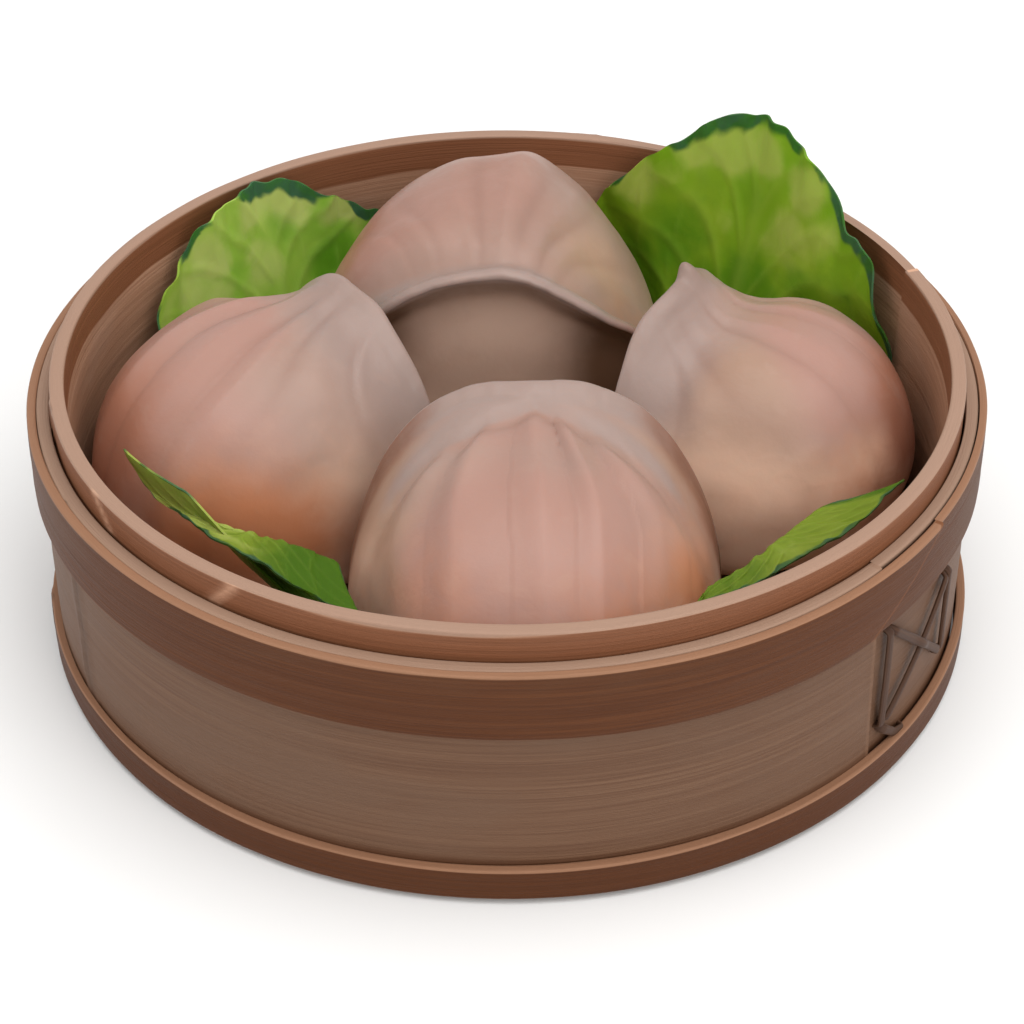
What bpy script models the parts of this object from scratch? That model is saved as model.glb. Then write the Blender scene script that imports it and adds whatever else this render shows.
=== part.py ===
"""Har gow in their bamboo steamer.

A single small steamer tier (130 mm across) holding four pleated har gow on
four lettuce leaves.  Units in the tables below are millimetres; the meshes
are made in metres.  +Z is up, the origin is the centre of the basket's
underside, and -Y is the side that the front dumpling faces.
"""
import bpy
import bmesh
import math
import numpy as np

MM = 0.001
GAP = 0.3                     # clearance between pieces that touch

# ------------------------------------------------------------------ sizes
R_HOOP = 65.0                 # outer radius of the two binding hoops
HOOP_T = 0.9                  # thickness of a hoop
WALL_T = 2.0                  # thickness of the outer bamboo wall
RING_T = 1.9                  # thickness of the inner rings
WALL_H = 36.6                 # height of the outer wall
RING_TOP = 40.5               # top of the inner ring, proud of the wall
TOP_HOOP_Z = (26.8, 36.6)     # the upper binding hoop
LOW_HOOP_Z = (0.6, 5.4)       # the lower binding hoop

R_WALL_OUT = R_HOOP - HOOP_T - GAP
R_WALL_IN = R_WALL_OUT - WALL_T
R_RING_OUT = R_WALL_IN - GAP
R_RING_IN = R_RING_OUT - RING_T

SLAT_T = 1.8                  # bamboo floor slats
SLAT_TOP = 8.6
SLAT_W = 8.8
SLAT_PITCH = 10.6
SLAT_COUNT = 11
BAR_T = 2.6                   # two bars under the slats
BAR_W = 8.0
BAR_Y = 27.0
RING_LOW_Z = GAP              # foot of the hidden ring that carries the floor

LACE_AZ = (-41.2, -26.0)      # azimuth span of the stitched seam, degrees
LACE_Z = (9.0, 25.6)          # height span of the stitched seam
LACE_W = 1.3                  # width of the cane
LACE_T = 0.8                  # thickness of the cane

LEAF_T = 0.9                  # leaf thickness
FLOOR_Z = SLAT_TOP + GAP + LEAF_T / 2      # mid-surface of a leaf on the floor
FOOD_Z = SLAT_TOP + GAP + LEAF_T + GAP + 0.1   # underside of the dumplings

SEGMENTS = 48                 # facets round a ring

# ---------------------------------------------------------------- helpers
for ob in list(bpy.data.objects):
    bpy.data.objects.remove(ob, do_unlink=True)


def material(name, colour, roughness):
    mat = bpy.data.materials.new(name)
    mat.use_nodes = True
    bsdf = mat.node_tree.nodes["Principled BSDF"]
    bsdf.inputs["Base Color"].default_value = (*colour, 1.0)
    bsdf.inputs["Roughness"].default_value = roughness
    bsdf.inputs["Metallic"].default_value = 0.0
    return mat


def add(name, verts, faces, mat, smooth_angle=None):
    """One closed object; its faces are turned to point outwards."""
    mesh = bpy.data.meshes.new(name)
    mesh.from_pydata([tuple(float(c) * MM for c in v) for v in verts], [], faces)
    bm = bmesh.new()
    bm.from_mesh(mesh)
    bmesh.ops.recalc_face_normals(bm, faces=bm.faces)
    if bm.calc_volume(signed=True) < 0:
        bmesh.ops.reverse_faces(bm, faces=bm.faces)
    bm.to_mesh(mesh)
    bm.free()
    if smooth_angle is not None:
        mesh.shade_smooth()
        mesh.set_sharp_from_angle(angle=math.radians(smooth_angle))
    mesh.materials.append(mat)
    ob = bpy.data.objects.new(name, mesh)
    bpy.context.scene.collection.objects.link(ob)
    return ob


def turned(name, profile, mat, count=SEGMENTS):
    """Closed ring from a closed (radius, height) outline."""
    n = len(profile)
    verts = [(r * math.cos(2 * math.pi * i / count), r * math.sin(2 * math.pi * i / count), z)
             for i in range(count) for r, z in profile]
    faces = [(i * n + k, ((i + 1) % count) * n + k,
              ((i + 1) % count) * n + (k + 1) % n, i * n + (k + 1) % n)
             for i in range(count) for k in range(n)]
    return add(name, verts, faces, mat, 40)


def box(name, lo, hi, mat):
    x0, y0, z0 = lo
    x1, y1, z1 = hi
    verts = [(x, y, z) for z in (z0, z1) for y in (y0, y1) for x in (x0, x1)]
    faces = [(0, 2, 3, 1), (4, 5, 7, 6), (0, 1, 5, 4), (2, 6, 7, 3), (0, 4, 6, 2), (1, 3, 7, 5)]
    return add(name, verts, faces, mat)


def cut(ob, cutters):
    """Take the cutters out of ob, then delete them."""
    for c in cutters:
        mod = ob.modifiers.new("cut", "BOOLEAN")
        mod.operation = "DIFFERENCE"
        mod.solver = "EXACT"
        mod.object = c
    dg = bpy.context.evaluated_depsgraph_get()
    dg.update()
    new = bpy.data.meshes.new_from_object(ob.evaluated_get(dg))
    ob.modifiers.clear()
    ob.data = new
    for c in cutters:
        bpy.data.objects.remove(c, do_unlink=True)


def smooth(x, a, b):
    t = np.clip((x - a) / (b - a), 0.0, 1.0)
    return t * t * (3 - 2 * t)


# ---------------------------------------------------------------- basket
BAMBOO = material("bamboo", (0.43, 0.25, 0.15), 0.55)
BAMBOO_RIM = material("bamboo_rim", (0.50, 0.31, 0.20), 0.5)
HOOP = material("bamboo_hoop", (0.27, 0.12, 0.06), 0.5)
SLAT = material("bamboo_slat", (0.40, 0.25, 0.14), 0.6)
CANE = material("cane", (0.13, 0.05, 0.03), 0.55)
DOUGH = material("dough", (0.62, 0.42, 0.34), 0.35)
LEAF = material("lettuce", (0.20, 0.36, 0.04), 0.4)

EDGE = 0.35                   # small worn edge on the bamboo rings


def strip_outline(r0, r1, z0, z1, e=EDGE):
    """Upright strip with its top edges eased."""
    return [(r1, z0), (r1, z1 - e), (r1 - e, z1), (r0 + e, z1), (r0, z1 - e), (r0, z0)]


turned("outer_wall", strip_outline(R_WALL_IN, R_WALL_OUT, 0.0, WALL_H), BAMBOO)
turned("inner_ring", strip_outline(R_RING_IN, R_RING_OUT, SLAT_TOP + GAP, RING_TOP), BAMBOO_RIM)
turned("top_hoop", strip_outline(R_HOOP - HOOP_T, R_HOOP, *TOP_HOOP_Z, 0.25), HOOP)
turned("bottom_hoop", strip_outline(R_HOOP - HOOP_T, R_HOOP, *LOW_HOOP_Z, 0.25), HOOP)

SLAT_BOTTOM = SLAT_TOP - SLAT_T
BAR_TOP = SLAT_BOTTOM - GAP
BAR_BOTTOM = BAR_TOP - BAR_T
floor_ring = turned("floor_ring", [(R_RING_OUT, RING_LOW_Z), (R_RING_OUT, BAR_TOP),
                                   (R_RING_IN, BAR_TOP), (R_RING_IN, RING_LOW_Z)], BAMBOO)

# the two bars lie in notches of the floor ring
notches = []
for side, y in (("front", -BAR_Y), ("back", BAR_Y)):
    notches.append(box("notch_" + side, (-R_HOOP, y - BAR_W / 2 - GAP, BAR_BOTTOM - GAP),
                       (R_HOOP, y + BAR_W / 2 + GAP, BAR_TOP + 2.0), BAMBOO))
cut(floor_ring, notches)


def chord(x, r):
    return math.sqrt(max(r * r - x * x, 0.0))


def flat_strip(name, half_w, at, r, z0, z1, along_x, mat, steps=3):
    """Bamboo strip across the basket whose ends follow the round wall."""
    low, high = [], []
    for k in range(steps + 1):
        w = at - half_w + 2 * half_w * k / steps
        low.append((w, -chord(w, r)))
        high.append((w, chord(w, r)))
    outline = low + high[::-1]
    if along_x:
        outline = [(b, a) for a, b in outline]
    n = len(outline)
    verts = [(x, y, z0) for x, y in outline] + [(x, y, z1) for x, y in outline]
    faces = [tuple(range(n)), tuple(range(2 * n - 1, n - 1, -1))]
    faces += [(i, (i + 1) % n, n + (i + 1) % n, n + i) for i in range(n)]
    return add(name, verts, faces, mat)


R_STRIP = R_RING_OUT - 0.1
flat_strip("floor_bar_front", BAR_W / 2, -BAR_Y, R_STRIP, BAR_BOTTOM, BAR_TOP, True, SLAT)
flat_strip("floor_bar_back", BAR_W / 2, BAR_Y, R_STRIP, BAR_BOTTOM, BAR_TOP, True, SLAT)
for k in range(SLAT_COUNT):
    x = (k - (SLAT_COUNT - 1) / 2) * SLAT_PITCH
    flat_strip("floor_slat_%02d" % (k + 1), SLAT_W / 2, x, R_STRIP, SLAT_BOTTOM, SLAT_TOP, False, SLAT)


# the stitched seam: a square of cane with a cross through it, on the wall
def lacing():
    r0 = R_WALL_OUT + GAP
    r1 = r0 + LACE_T
    a0, a1 = (math.radians(a) for a in LACE_AZ)
    z0, z1 = LACE_Z
    width = (a1 - a0) * r0

    def strand(name, p, q, half=LACE_W / 2, steps=6):
        """Flat strand between two points given as (distance along, height)."""
        px, pz = p
        qx, qz = q
        length = math.hypot(qx - px, qz - pz)
        ux, uz = (qx - px) / length, (qz - pz) / length
        verts = []
        for i in range(steps + 1):
            t = i / steps
            cx, cz = px + (qx - px) * t, pz + (qz - pz) * t
            for r in (r0, r1):
                for s in (-half, half):
                    along, z = cx - uz * s, cz + ux * s
                    a = a0 + along / r0
                    verts.append((r * math.cos(a), r * math.sin(a), z))
        faces = [(0, 1, 3, 2), tuple(4 * steps + k for k in (0, 2, 3, 1))]
        for i in range(steps):
            b = 4 * i
            for j, k in ((0, 2), (2, 3), (3, 1), (1, 0)):
                faces.append((b + j, b + k, b + 4 + k, b + 4 + j))
        return add(name, verts, faces, CANE)

    h = LACE_W / 2
    first = strand("lacing", (0, z0 - h), (0, z1 + h), steps=3)
    others = [strand("s1", (width, z0 + 1.4 - h), (width, z1 - 1.0 + h), steps=3),
              strand("s2", (-0.2, z0), (width + 0.2, z1 - 1.0)),
              strand("s3", (-0.2, z1), (width + 0.2, z0 + 1.4))]
    for o in others:
        mod = first.modifiers.new("join", "BOOLEAN")
        mod.operation = "UNION"
        mod.solver = "EXACT"
        mod.object = o
    dg = bpy.context.evaluated_depsgraph_get()
    dg.update()
    first_mesh = bpy.data.meshes.new_from_object(first.evaluated_get(dg))
    first.modifiers.clear()
    first.data = first_mesh
    for o in others:
        bpy.data.objects.remove(o, do_unlink=True)


lacing()

# ------------------------------------------------------------- dumplings
# One cross-section square to the crest, as (outwards, up, dome) shares of the
# dumpling's depth and height.  It starts at the pinched crest, goes down the
# flange, over the pleated dome to its nose, under the base and back up the
# smooth hollow side.
SECTION = [(0.018, 1.000, 0), (0.048, 0.965, 0), (0.070, 0.905, 0), (0.14, 0.915, 0.6),
           (0.27, 0.955, 1), (0.45, 0.970, 1), (0.62, 0.940, 1), (0.78, 0.855, 1),
           (0.91, 0.71, 1), (0.985, 0.53, 1), (1.0, 0.35, 1), (0.965, 0.17, 1),
           (0.88, 0.05, 1), (0.74, 0.0, 1), (0.40, 0.0, 0), (0.16, 0.0, 0),
           (0.04, 0.04, 0), (-0.01, 0.18, 0), (0.02, 0.40, 0), (0.055, 0.62, 0),
           (0.045, 0.80, 0), (0.008, 0.905, 0), (-0.018, 0.975, 0)]

# centre: middle of the crest in plan.  out: azimuth that the dome faces.
# half: half width on each side of the crest's middle.  depth: crest to nose.
# high: crest height above the base.  ends/dome: (height, fullness, drop) of
# the crest line and of the dome on each side.
DUMPLINGS = {
    "dumpling_front": dict(centre=(3.7, -12.8), out=-90, half=(25.2, 25.2), depth=43.5, high=33.2,
                           ends=((3, 2.4, 0.5), (3, 2.4, 0.5)), dome=((3, 2.4, 0.5), (3, 2.4, 0.5)),
                           dome_high=33.2, sweep=(6, 6), plan=2.6, seed=1),
    "dumpling_back": dict(centre=(-1.0, 13.6), out=90, half=(28, 23.5), depth=44.0, high=33.8,
                          ends=((12, 1.9, 0.8), (21, 1.25, 1.2)), dome=((12, 3.0, 0.5), (12, 2.2, 0.6)),
                          dome_high=34.5, lift=2.6, nose=5, sweep=(7, 3), plan=2.6, seed=2),
    "dumpling_left": dict(centre=(-23.7, 13.4), out=-134.5, half=(23.5, 25), depth=39.5, high=33.8,
                          ends=((6, 2.2, 0.5), (6, 1.25, 0.9)), dome=((6, 2.2, 0.5), (8, 2.2, 0.5)),
                          dome_high=32.5, sweep=(3, 3), plan=2.4, seed=3),
    "dumpling_right": dict(centre=(25.2, 14.6), out=-38, half=(24.6, 23.5), depth=34.2, high=33.8,
                           ends=((6, 1.25, 0.9), (6, 2.2, 0.5)), dome=((8, 2.2, 0.5), (6, 2.2, 0.5)),
                           dome_high=31.2, peak=(2.0, 0.02, 0.055, -0.4), sweep=(3, 3), plan=2.4, seed=4),
}
PLEATS = 9                    # pleats gathered into the crest
PLEAT_DEPTH = 1.1             # how far a pleat stands out
FAN = 0.5                     # how tightly the pleats gather towards the crest


def closed_spline(points, n):
    p = np.asarray(points, float)
    m = len(p)
    t = np.linspace(0, m, n, endpoint=False)
    i = np.floor(t).astype(int)
    f = (t - i)[:, None]
    a, b, c, d = p[(i - 1) % m], p[i % m], p[(i + 1) % m], p[(i + 2) % m]
    return 0.5 * (2 * b + (c - a) * f + (2 * a - 5 * b + 4 * c - d) * f ** 2
                  + (3 * b - a - 3 * c + d) * f ** 3)


def arch(s, m, n):
    a = (np.sqrt(s * s + 0.0016) - 0.04) / (math.sqrt(1.0016) - 0.04)
    return (1 - min(a, 1.0) ** m) ** n


def pleat(q, depth=PLEAT_DEPTH):
    """Folds laid over each other: a slow rise, then a short drop."""
    t = q * PLEATS / 2.0
    f = t - np.floor(t)
    return depth * (np.where(f < 0.72, f / 0.72, (1 - f) / 0.28) - 0.5)


def dumpling_grid(d, rows, around):
    """Points of one dumpling, rows from one end of the crest to the other."""
    th = math.radians(d["out"])
    o = (math.cos(th), math.sin(th))
    sec = closed_spline(SECTION, around)
    y0, z0, w0 = sec[:, 0], sec[:, 1], np.clip(sec[:, 2], 0, 1)
    tang = np.roll(sec[:, :2], -1, 0) - np.roll(sec[:, :2], 1, 0)
    tang /= np.linalg.norm(tang, axis=1)[:, None]
    ny, nz = tang[:, 1] * -1.0, tang[:, 0]      # outward normal of the outline
    out = []
    for k in range(rows):
        ang = math.pi * ((k + 1) / (rows + 1) - 0.5)
        s, c = math.sin(ang), math.cos(ang)
        side = float(smooth(s, -0.35, 0.35))

        def line(spec, top):
            a, b = spec
            return ((a[0] + (top - a[0]) * arch(s, a[1], a[2])) * (1 - side)
                    + (b[0] + (top - b[0]) * arch(s, b[1], b[2])) * side)

        crest = line(d["ends"], d["high"])
        dome = line(d["dome"], d["dome_high"])
        height = crest * (1 - w0) + dome * w0
        end = d["ends"][0][0] * (1 - side) + d["ends"][1][0] * side
        base = 0.7 * min(end, dome) * (1 - c) ** 2.5
        depth = max(d["depth"] * math.sqrt(1 - abs(s) ** d["plan"]), 1.0)
        y = (d["sweep"][0] if s < 0 else d["sweep"][1]) * abs(s) ** 3 + depth * y0
        z = base + (height - base) * z0 + d.get("lift", 0) * w0 * smooth(y0, 0.1, 0.7) * c
        x = (d["half"][0] * (1 - side) + d["half"][1] * side) * s \
            + d.get("nose", 0) * np.clip(y0, 0, 1) ** 1.5 * c
        if "peak" in d:
            tall, where, wide, back = d["peak"]
            p = tall * math.exp(-((s - where) / wide) ** 2) * smooth(z0, 0.90, 1.0) \
                * (1 - smooth(y0, 0.03, 0.1))
            z, y = z + p, y + back * p
        # pleats: gathered at the crest, spreading over the dome
        spread = FAN + (1 - FAN) * smooth(y0, 0.05, 0.75)
        fade = w0 * c * (1 - 0.65 * smooth(y0, 0.3, 1.0)) * smooth(z0, 0.0, 0.15)
        h = pleat(s / spread + 0.13 * d["seed"]) * fade
        y, z = y + h * ny, z + h * nz
        z = np.maximum(z, base if base > 0.05 else 0.0)
        out.append(np.stack([d["centre"][0] + x * o[1] + y * o[0],
                             d["centre"][1] - x * o[0] + y * o[1],
                             FOOD_Z + z], 1))
    return np.array(out)


def dumpling(name, rows=21, around=24):
    g = dumpling_grid(DUMPLINGS[name], rows, around)
    verts = [tuple(v) for v in g.reshape(-1, 3)]
    verts += [tuple(g[0].mean(0)), tuple(g[-1].mean(0))]
    a, b = rows * around, rows * around + 1
    faces = []
    for j in range(around):
        k = (j + 1) % around
        faces += [(i * around + j, (i + 1) * around + j, (i + 1) * around + k, i * around + k)
                  for i in range(rows - 1)]
        faces += [(a, j, k), (b, (rows - 1) * around + k, (rows - 1) * around + j)]
    return add(name, verts, faces, DOUGH, 50)


for name in DUMPLINGS:
    dumpling(name)

# ---------------------------------------------------------------- leaves
# az: azimuth of the leaf's two corners at its rim.  top: rim height at the
# corners and in the middle.  full: how square the rim's outline is.
# reach: radius of the rim.  start: radius where the leaf begins on the floor.
# turn: radius where it leaves the floor.  flare: 0 stands up along the wall,
# 1 opens outwards at the rim.  lobes: (azimuth, depth, width) of rim notches.
LEAVES = {
    "leaf_back_right": dict(az=(20, 79), top=(27, 53.5), full=0.85, reach=56.3, start=16, turn=46,
                            flare=0, lobes=((31, 3.0, 3.0), (62, 2.5, 8.0)), seed=1),
    "leaf_back_left": dict(az=(107, 156), top=(25, 42.5), full=0.75, reach=56.3, start=16, turn=46,
                           flare=0, lobes=((149, 3.0, 3.5), (117, 3.0, 7.0)), seed=2),
    "leaf_front_left": dict(az=(-164, -110), top=(31, 34.5), full=0.6, reach=53.0, start=17, turn=30,
                            flare=1, lobes=(), seed=3),
    "leaf_front_right": dict(az=(-69, -21), top=(30, 33.0), full=0.6, reach=54.3, start=17, turn=30,
                             flare=1, lobes=(), seed=4),
}
LEAF_CLEAR = LEAF_T / 2 + 0.45    # leaf mid-surface to a dumpling


class Bellies:
    """Largest radius that the dumplings reach at an azimuth and a height."""

    def __init__(self, rows=61, around=92):
        self.pts = np.concatenate([dumpling_grid(DUMPLINGS[n], rows, around).reshape(-1, 3)
                                   for n in DUMPLINGS])
        self.r = np.hypot(self.pts[:, 0], self.pts[:, 1])
        self.a = np.arctan2(self.pts[:, 1], self.pts[:, 0])

    def reach(self, az, z, across=3.2, up=1.6):
        da = (self.a - az + math.pi) % (2 * math.pi) - math.pi
        near = (np.abs(da) * np.maximum(self.r, 20) < across) & (np.abs(self.pts[:, 2] - z) < up)
        return float(self.r[near].max()) if near.any() else 0.0


BELLIES = Bellies()


def leaf_grid(d, cols, rows):
    """Points of a leaf's middle surface, rows from its base to its ruffled rim."""
    a0, a1 = (math.radians(a) for a in d["az"])
    mid, half = (a0 + a1) / 2, (a1 - a0) / 2
    limit = R_RING_IN - GAP - LEAF_T / 2 - 0.2
    g = np.zeros((rows, cols, 3))
    for i in range(cols):
        u = -1 + 2 * i / (cols - 1)
        top = d["top"][0] + (d["top"][1] - d["top"][0]) * max(1 - abs(u) ** 2.2, 0.0) ** d["full"]
        top += 0.8 * math.sin(7 * u + 2 * d["seed"])
        for where, deep, wide in d["lobes"]:
            top -= deep * math.exp(-((math.degrees(mid + u * half) - where) / wide) ** 2)
        path = []
        steps = 60
        for k in range(steps + 1):
            v = k / steps
            spread = 0.45 + 0.55 * float(smooth(v, 0.0, 0.8))
            az = mid + u * half * spread
            if v < 0.4:
                r = d["start"] + (d["turn"] - d["start"]) * v / 0.4
                z = FLOOR_Z
            else:
                t = (v - 0.4) / 0.6
                if d["flare"]:
                    z = FLOOR_Z + (top - FLOOR_Z) * (1 - (1 - t) ** 1.15)
                    r = d["turn"] + (d["reach"] - d["turn"]) * t ** 1.1
                else:
                    z = FLOOR_Z + (top - FLOOR_Z) * t ** 1.25
                    r = d["turn"] + (d["reach"] - d["turn"]) * (1 - (1 - t) ** 1.6)
            path.append([az, r, z])
        path = np.array(path)
        for k in range(steps + 1):
            az, r, z = path[k]
            if z > FLOOR_Z + 0.3:
                r = max(r, BELLIES.reach(az, z) + LEAF_CLEAR + 0.3)
            path[k, 1] = min(r, limit)
        # the floor part runs out to where the leaf turns up
        turned_up = int(np.argmax(path[:, 2] > FLOOR_Z + 0.3))
        path[:turned_up, 1] = d["start"] + (path[turned_up, 1] - d["start"]) \
            * np.linspace(0, 1, turned_up, endpoint=False)
        for _ in range(6):
            path[1:-1, 1] = np.maximum(0.25 * path[:-2, 1] + 0.5 * path[1:-1, 1] + 0.25 * path[2:, 1],
                                       0)
        for j in range(rows):
            t = j / (rows - 1) * steps
            k = min(int(t), steps - 1)
            f = t - k
            az, r, z = path[k] * (1 - f) + path[k + 1] * f
            if z > FLOOR_Z + 0.25:
                r = max(r, BELLIES.reach(az, z) + LEAF_CLEAR)
                ruffle = 0.9 * float(smooth(j / (rows - 1), 0.6, 1.0)) * math.sin(9 * u + d["seed"])
                r = max(r + ruffle, BELLIES.reach(az, z) + LEAF_CLEAR)
            r = min(r, limit)
            g[j, i] = (r * math.cos(az), r * math.sin(az), z)
    return g


def leaf(name, cols=15, rows=11):
    g = leaf_grid(LEAVES[name], cols, rows)
    du = np.gradient(g, axis=1)
    dv = np.gradient(g, axis=0)
    n = np.cross(du, dv)
    n /= np.linalg.norm(n, axis=2)[..., None]
    a, b = g + n * LEAF_T / 2, g - n * LEAF_T / 2
    verts = [tuple(v) for v in a.reshape(-1, 3)] + [tuple(v) for v in b.reshape(-1, 3)]
    m = rows * cols
    faces = []
    for j in range(rows - 1):
        for i in range(cols - 1):
            q = (j * cols + i, j * cols + i + 1, (j + 1) * cols + i + 1, (j + 1) * cols + i)
            faces.append(q)
            faces.append(tuple(m + k for k in reversed(q)))
    rim = [i for i in range(cols)] + [j * cols + cols - 1 for j in range(1, rows)] \
        + [(rows - 1) * cols + i for i in range(cols - 2, -1, -1)] + [j * cols for j in range(rows - 2, 0, -1)]
    for k, v in enumerate(rim):
        w = rim[(k + 1) % len(rim)]
        faces.append((w, v, m + v, m + w))
    return add(name, verts, faces, LEAF, 60)


for name in LEAVES:
    leaf(name)
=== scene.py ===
"""Looks of four har gow on lettuce in a small bamboo steamer.

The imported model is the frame: every piece below stands where its CAD node
stands and replaces it.  Lengths in the tables are millimetres, because the
shapes are worked out in millimetres and made in metres at the last step.
-Y faces the viewer, +Z is up, the origin is under the middle of the basket.
"""

import math

import bpy
import numpy as np
from mathutils import Matrix, Vector


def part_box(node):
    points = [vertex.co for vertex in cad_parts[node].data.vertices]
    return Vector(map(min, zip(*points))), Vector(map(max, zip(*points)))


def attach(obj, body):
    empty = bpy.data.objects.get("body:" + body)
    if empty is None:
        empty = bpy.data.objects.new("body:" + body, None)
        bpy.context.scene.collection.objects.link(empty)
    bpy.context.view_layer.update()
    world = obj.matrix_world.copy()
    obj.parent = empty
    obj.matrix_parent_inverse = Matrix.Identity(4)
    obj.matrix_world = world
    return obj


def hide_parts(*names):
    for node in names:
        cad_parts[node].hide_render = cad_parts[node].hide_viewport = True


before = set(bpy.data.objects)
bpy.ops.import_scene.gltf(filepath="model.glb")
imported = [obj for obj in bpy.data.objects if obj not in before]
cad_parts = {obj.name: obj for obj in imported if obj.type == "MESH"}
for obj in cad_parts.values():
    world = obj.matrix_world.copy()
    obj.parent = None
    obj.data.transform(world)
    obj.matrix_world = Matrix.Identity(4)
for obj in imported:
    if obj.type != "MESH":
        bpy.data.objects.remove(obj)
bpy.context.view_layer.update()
MM = 0.001
TAU = 2 * math.pi


def cad(node):
    """Lowest and highest corner of a CAD node, in millimetres."""
    lo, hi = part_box(node)
    return np.array(lo) / MM, np.array(hi) / MM


# sizes that the CAD model fixes
R_WALL_OUT = cad("outer_wall")[1][0]
R_HOOP = cad("top_hoop")[1][0]
R_RING_OUT = cad("inner_ring")[1][0]
WALL_T, RING_T, GAP = 2.0, 1.9, 0.3
R_WALL_IN = R_WALL_OUT - WALL_T
R_RING_IN = R_RING_OUT - RING_T
WALL_H = cad("outer_wall")[1][2]
RING_LOW, RING_TOP = cad("inner_ring")[0][2], cad("inner_ring")[1][2]
TOP_HOOP_Z = (cad("top_hoop")[0][2], cad("top_hoop")[1][2])
LOW_HOOP_Z = (cad("bottom_hoop")[0][2], cad("bottom_hoop")[1][2])
SLAT_TOP = cad("floor_slat_06")[1][2]
LEAF_SOLID = 0.9                           # thickness of the CAD leaves
FLOOR_Z = SLAT_TOP + GAP + LEAF_SOLID / 2  # mid-surface of a leaf on the floor
FOOD_Z = cad("dumpling_front")[0][2]


# ------------------------------------------------------------------ noise
def lattice(ix, iy, iz, seed):
    h = (ix.astype(np.uint32) * np.uint32(374761393)
         + iy.astype(np.uint32) * np.uint32(668265263)
         + iz.astype(np.uint32) * np.uint32(2246822519)
         + np.uint32((seed * 3266489917 + 374761) % 4294967296))
    h = (h ^ (h >> np.uint32(13))) * np.uint32(1274126177)
    h = h ^ (h >> np.uint32(16))
    return h.astype(np.float64) / 2147483647.5 - 1.0


def noise(p, size, seed=0):
    """Smooth noise from -1 to 1 at points p (..., 3); size is its grain."""
    q = np.asarray(p, float) / size
    i = np.floor(q).astype(np.int64)
    f = q - i
    f = f * f * f * (f * (f * 6 - 15) + 10)
    total = np.zeros(q.shape[:-1])
    for dx in (0, 1):
        wx = f[..., 0] if dx else 1 - f[..., 0]
        for dy in (0, 1):
            wy = f[..., 1] if dy else 1 - f[..., 1]
            for dz in (0, 1):
                wz = f[..., 2] if dz else 1 - f[..., 2]
                total += wx * wy * wz * lattice(i[..., 0] + dx, i[..., 1] + dy, i[..., 2] + dz, seed)
    return total


def fbm(p, size, octaves=3, seed=0):
    total, amp, norm = 0.0, 1.0, 0.0
    for k in range(octaves):
        total = total + amp * noise(p, size / 2 ** k, seed + 17 * k)
        norm += amp
        amp *= 0.5
    return total / norm


def smooth(x, a, b):
    t = np.clip((np.asarray(x, float) - a) / (b - a), 0.0, 1.0)
    return t * t * (3 - 2 * t)


def bell(x, mid, width):
    return np.exp(-((np.asarray(x, float) - mid) / width) ** 2)


# ----------------------------------------------------------------- meshes
def make(name, verts, faces, mat, marks=None, sharp=None):
    """Mesh object from millimetre points; marks are named point attributes:
    an (n,) array becomes a float, an (n, 3) array a vector."""
    verts = np.asarray(verts, float)
    faces = [np.asarray(f, np.int64) for f in faces]
    # turn the shell the right way out
    vol = 0.0
    for f in faces:
        a = verts[f[:, 0]]
        for k in range(1, f.shape[1] - 1):
            vol += np.einsum("ij,ij->i", a, np.cross(verts[f[:, k]], verts[f[:, k + 1]])).sum()
    if vol < 0:
        faces = [f[:, ::-1] for f in faces]
    mesh = bpy.data.meshes.new(name)
    polys = []
    for f in faces:
        polys += f.tolist()
    mesh.from_pydata((verts * MM).tolist(), [], polys)
    for key, value in (marks or {}).items():
        value = np.asarray(value, np.float32)
        if value.ndim == 1:
            at = mesh.attributes.new(key, "FLOAT", "POINT")
            at.data.foreach_set("value", value)
        else:
            at = mesh.attributes.new(key, "FLOAT_VECTOR", "POINT")
            at.data.foreach_set("vector", value.reshape(-1))
    mesh.shade_smooth()
    if sharp is not None:
        mesh.set_sharp_from_angle(angle=math.radians(sharp))
    mesh.materials.append(mat)
    mesh.update()
    ob = bpy.data.objects.new(name, mesh)
    bpy.context.scene.collection.objects.link(ob)
    return ob


def grid_faces(rows, cols, wrap_rows=False, wrap_cols=False, start=0):
    """Quads of a grid whose vertex (i, j) is start + i * cols + j."""
    i = np.arange(rows if wrap_rows else rows - 1)
    j = np.arange(cols if wrap_cols else cols - 1)
    i, j = np.meshgrid(i, j, indexing="ij")
    i, j = i.ravel(), j.ravel()
    i2, j2 = (i + 1) % rows, (j + 1) % cols
    return start + np.stack([i * cols + j, i2 * cols + j, i2 * cols + j2, i * cols + j2], 1)


def finish_piece(ob, nodes):
    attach(ob, "root")
    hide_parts(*nodes)
    return ob


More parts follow.
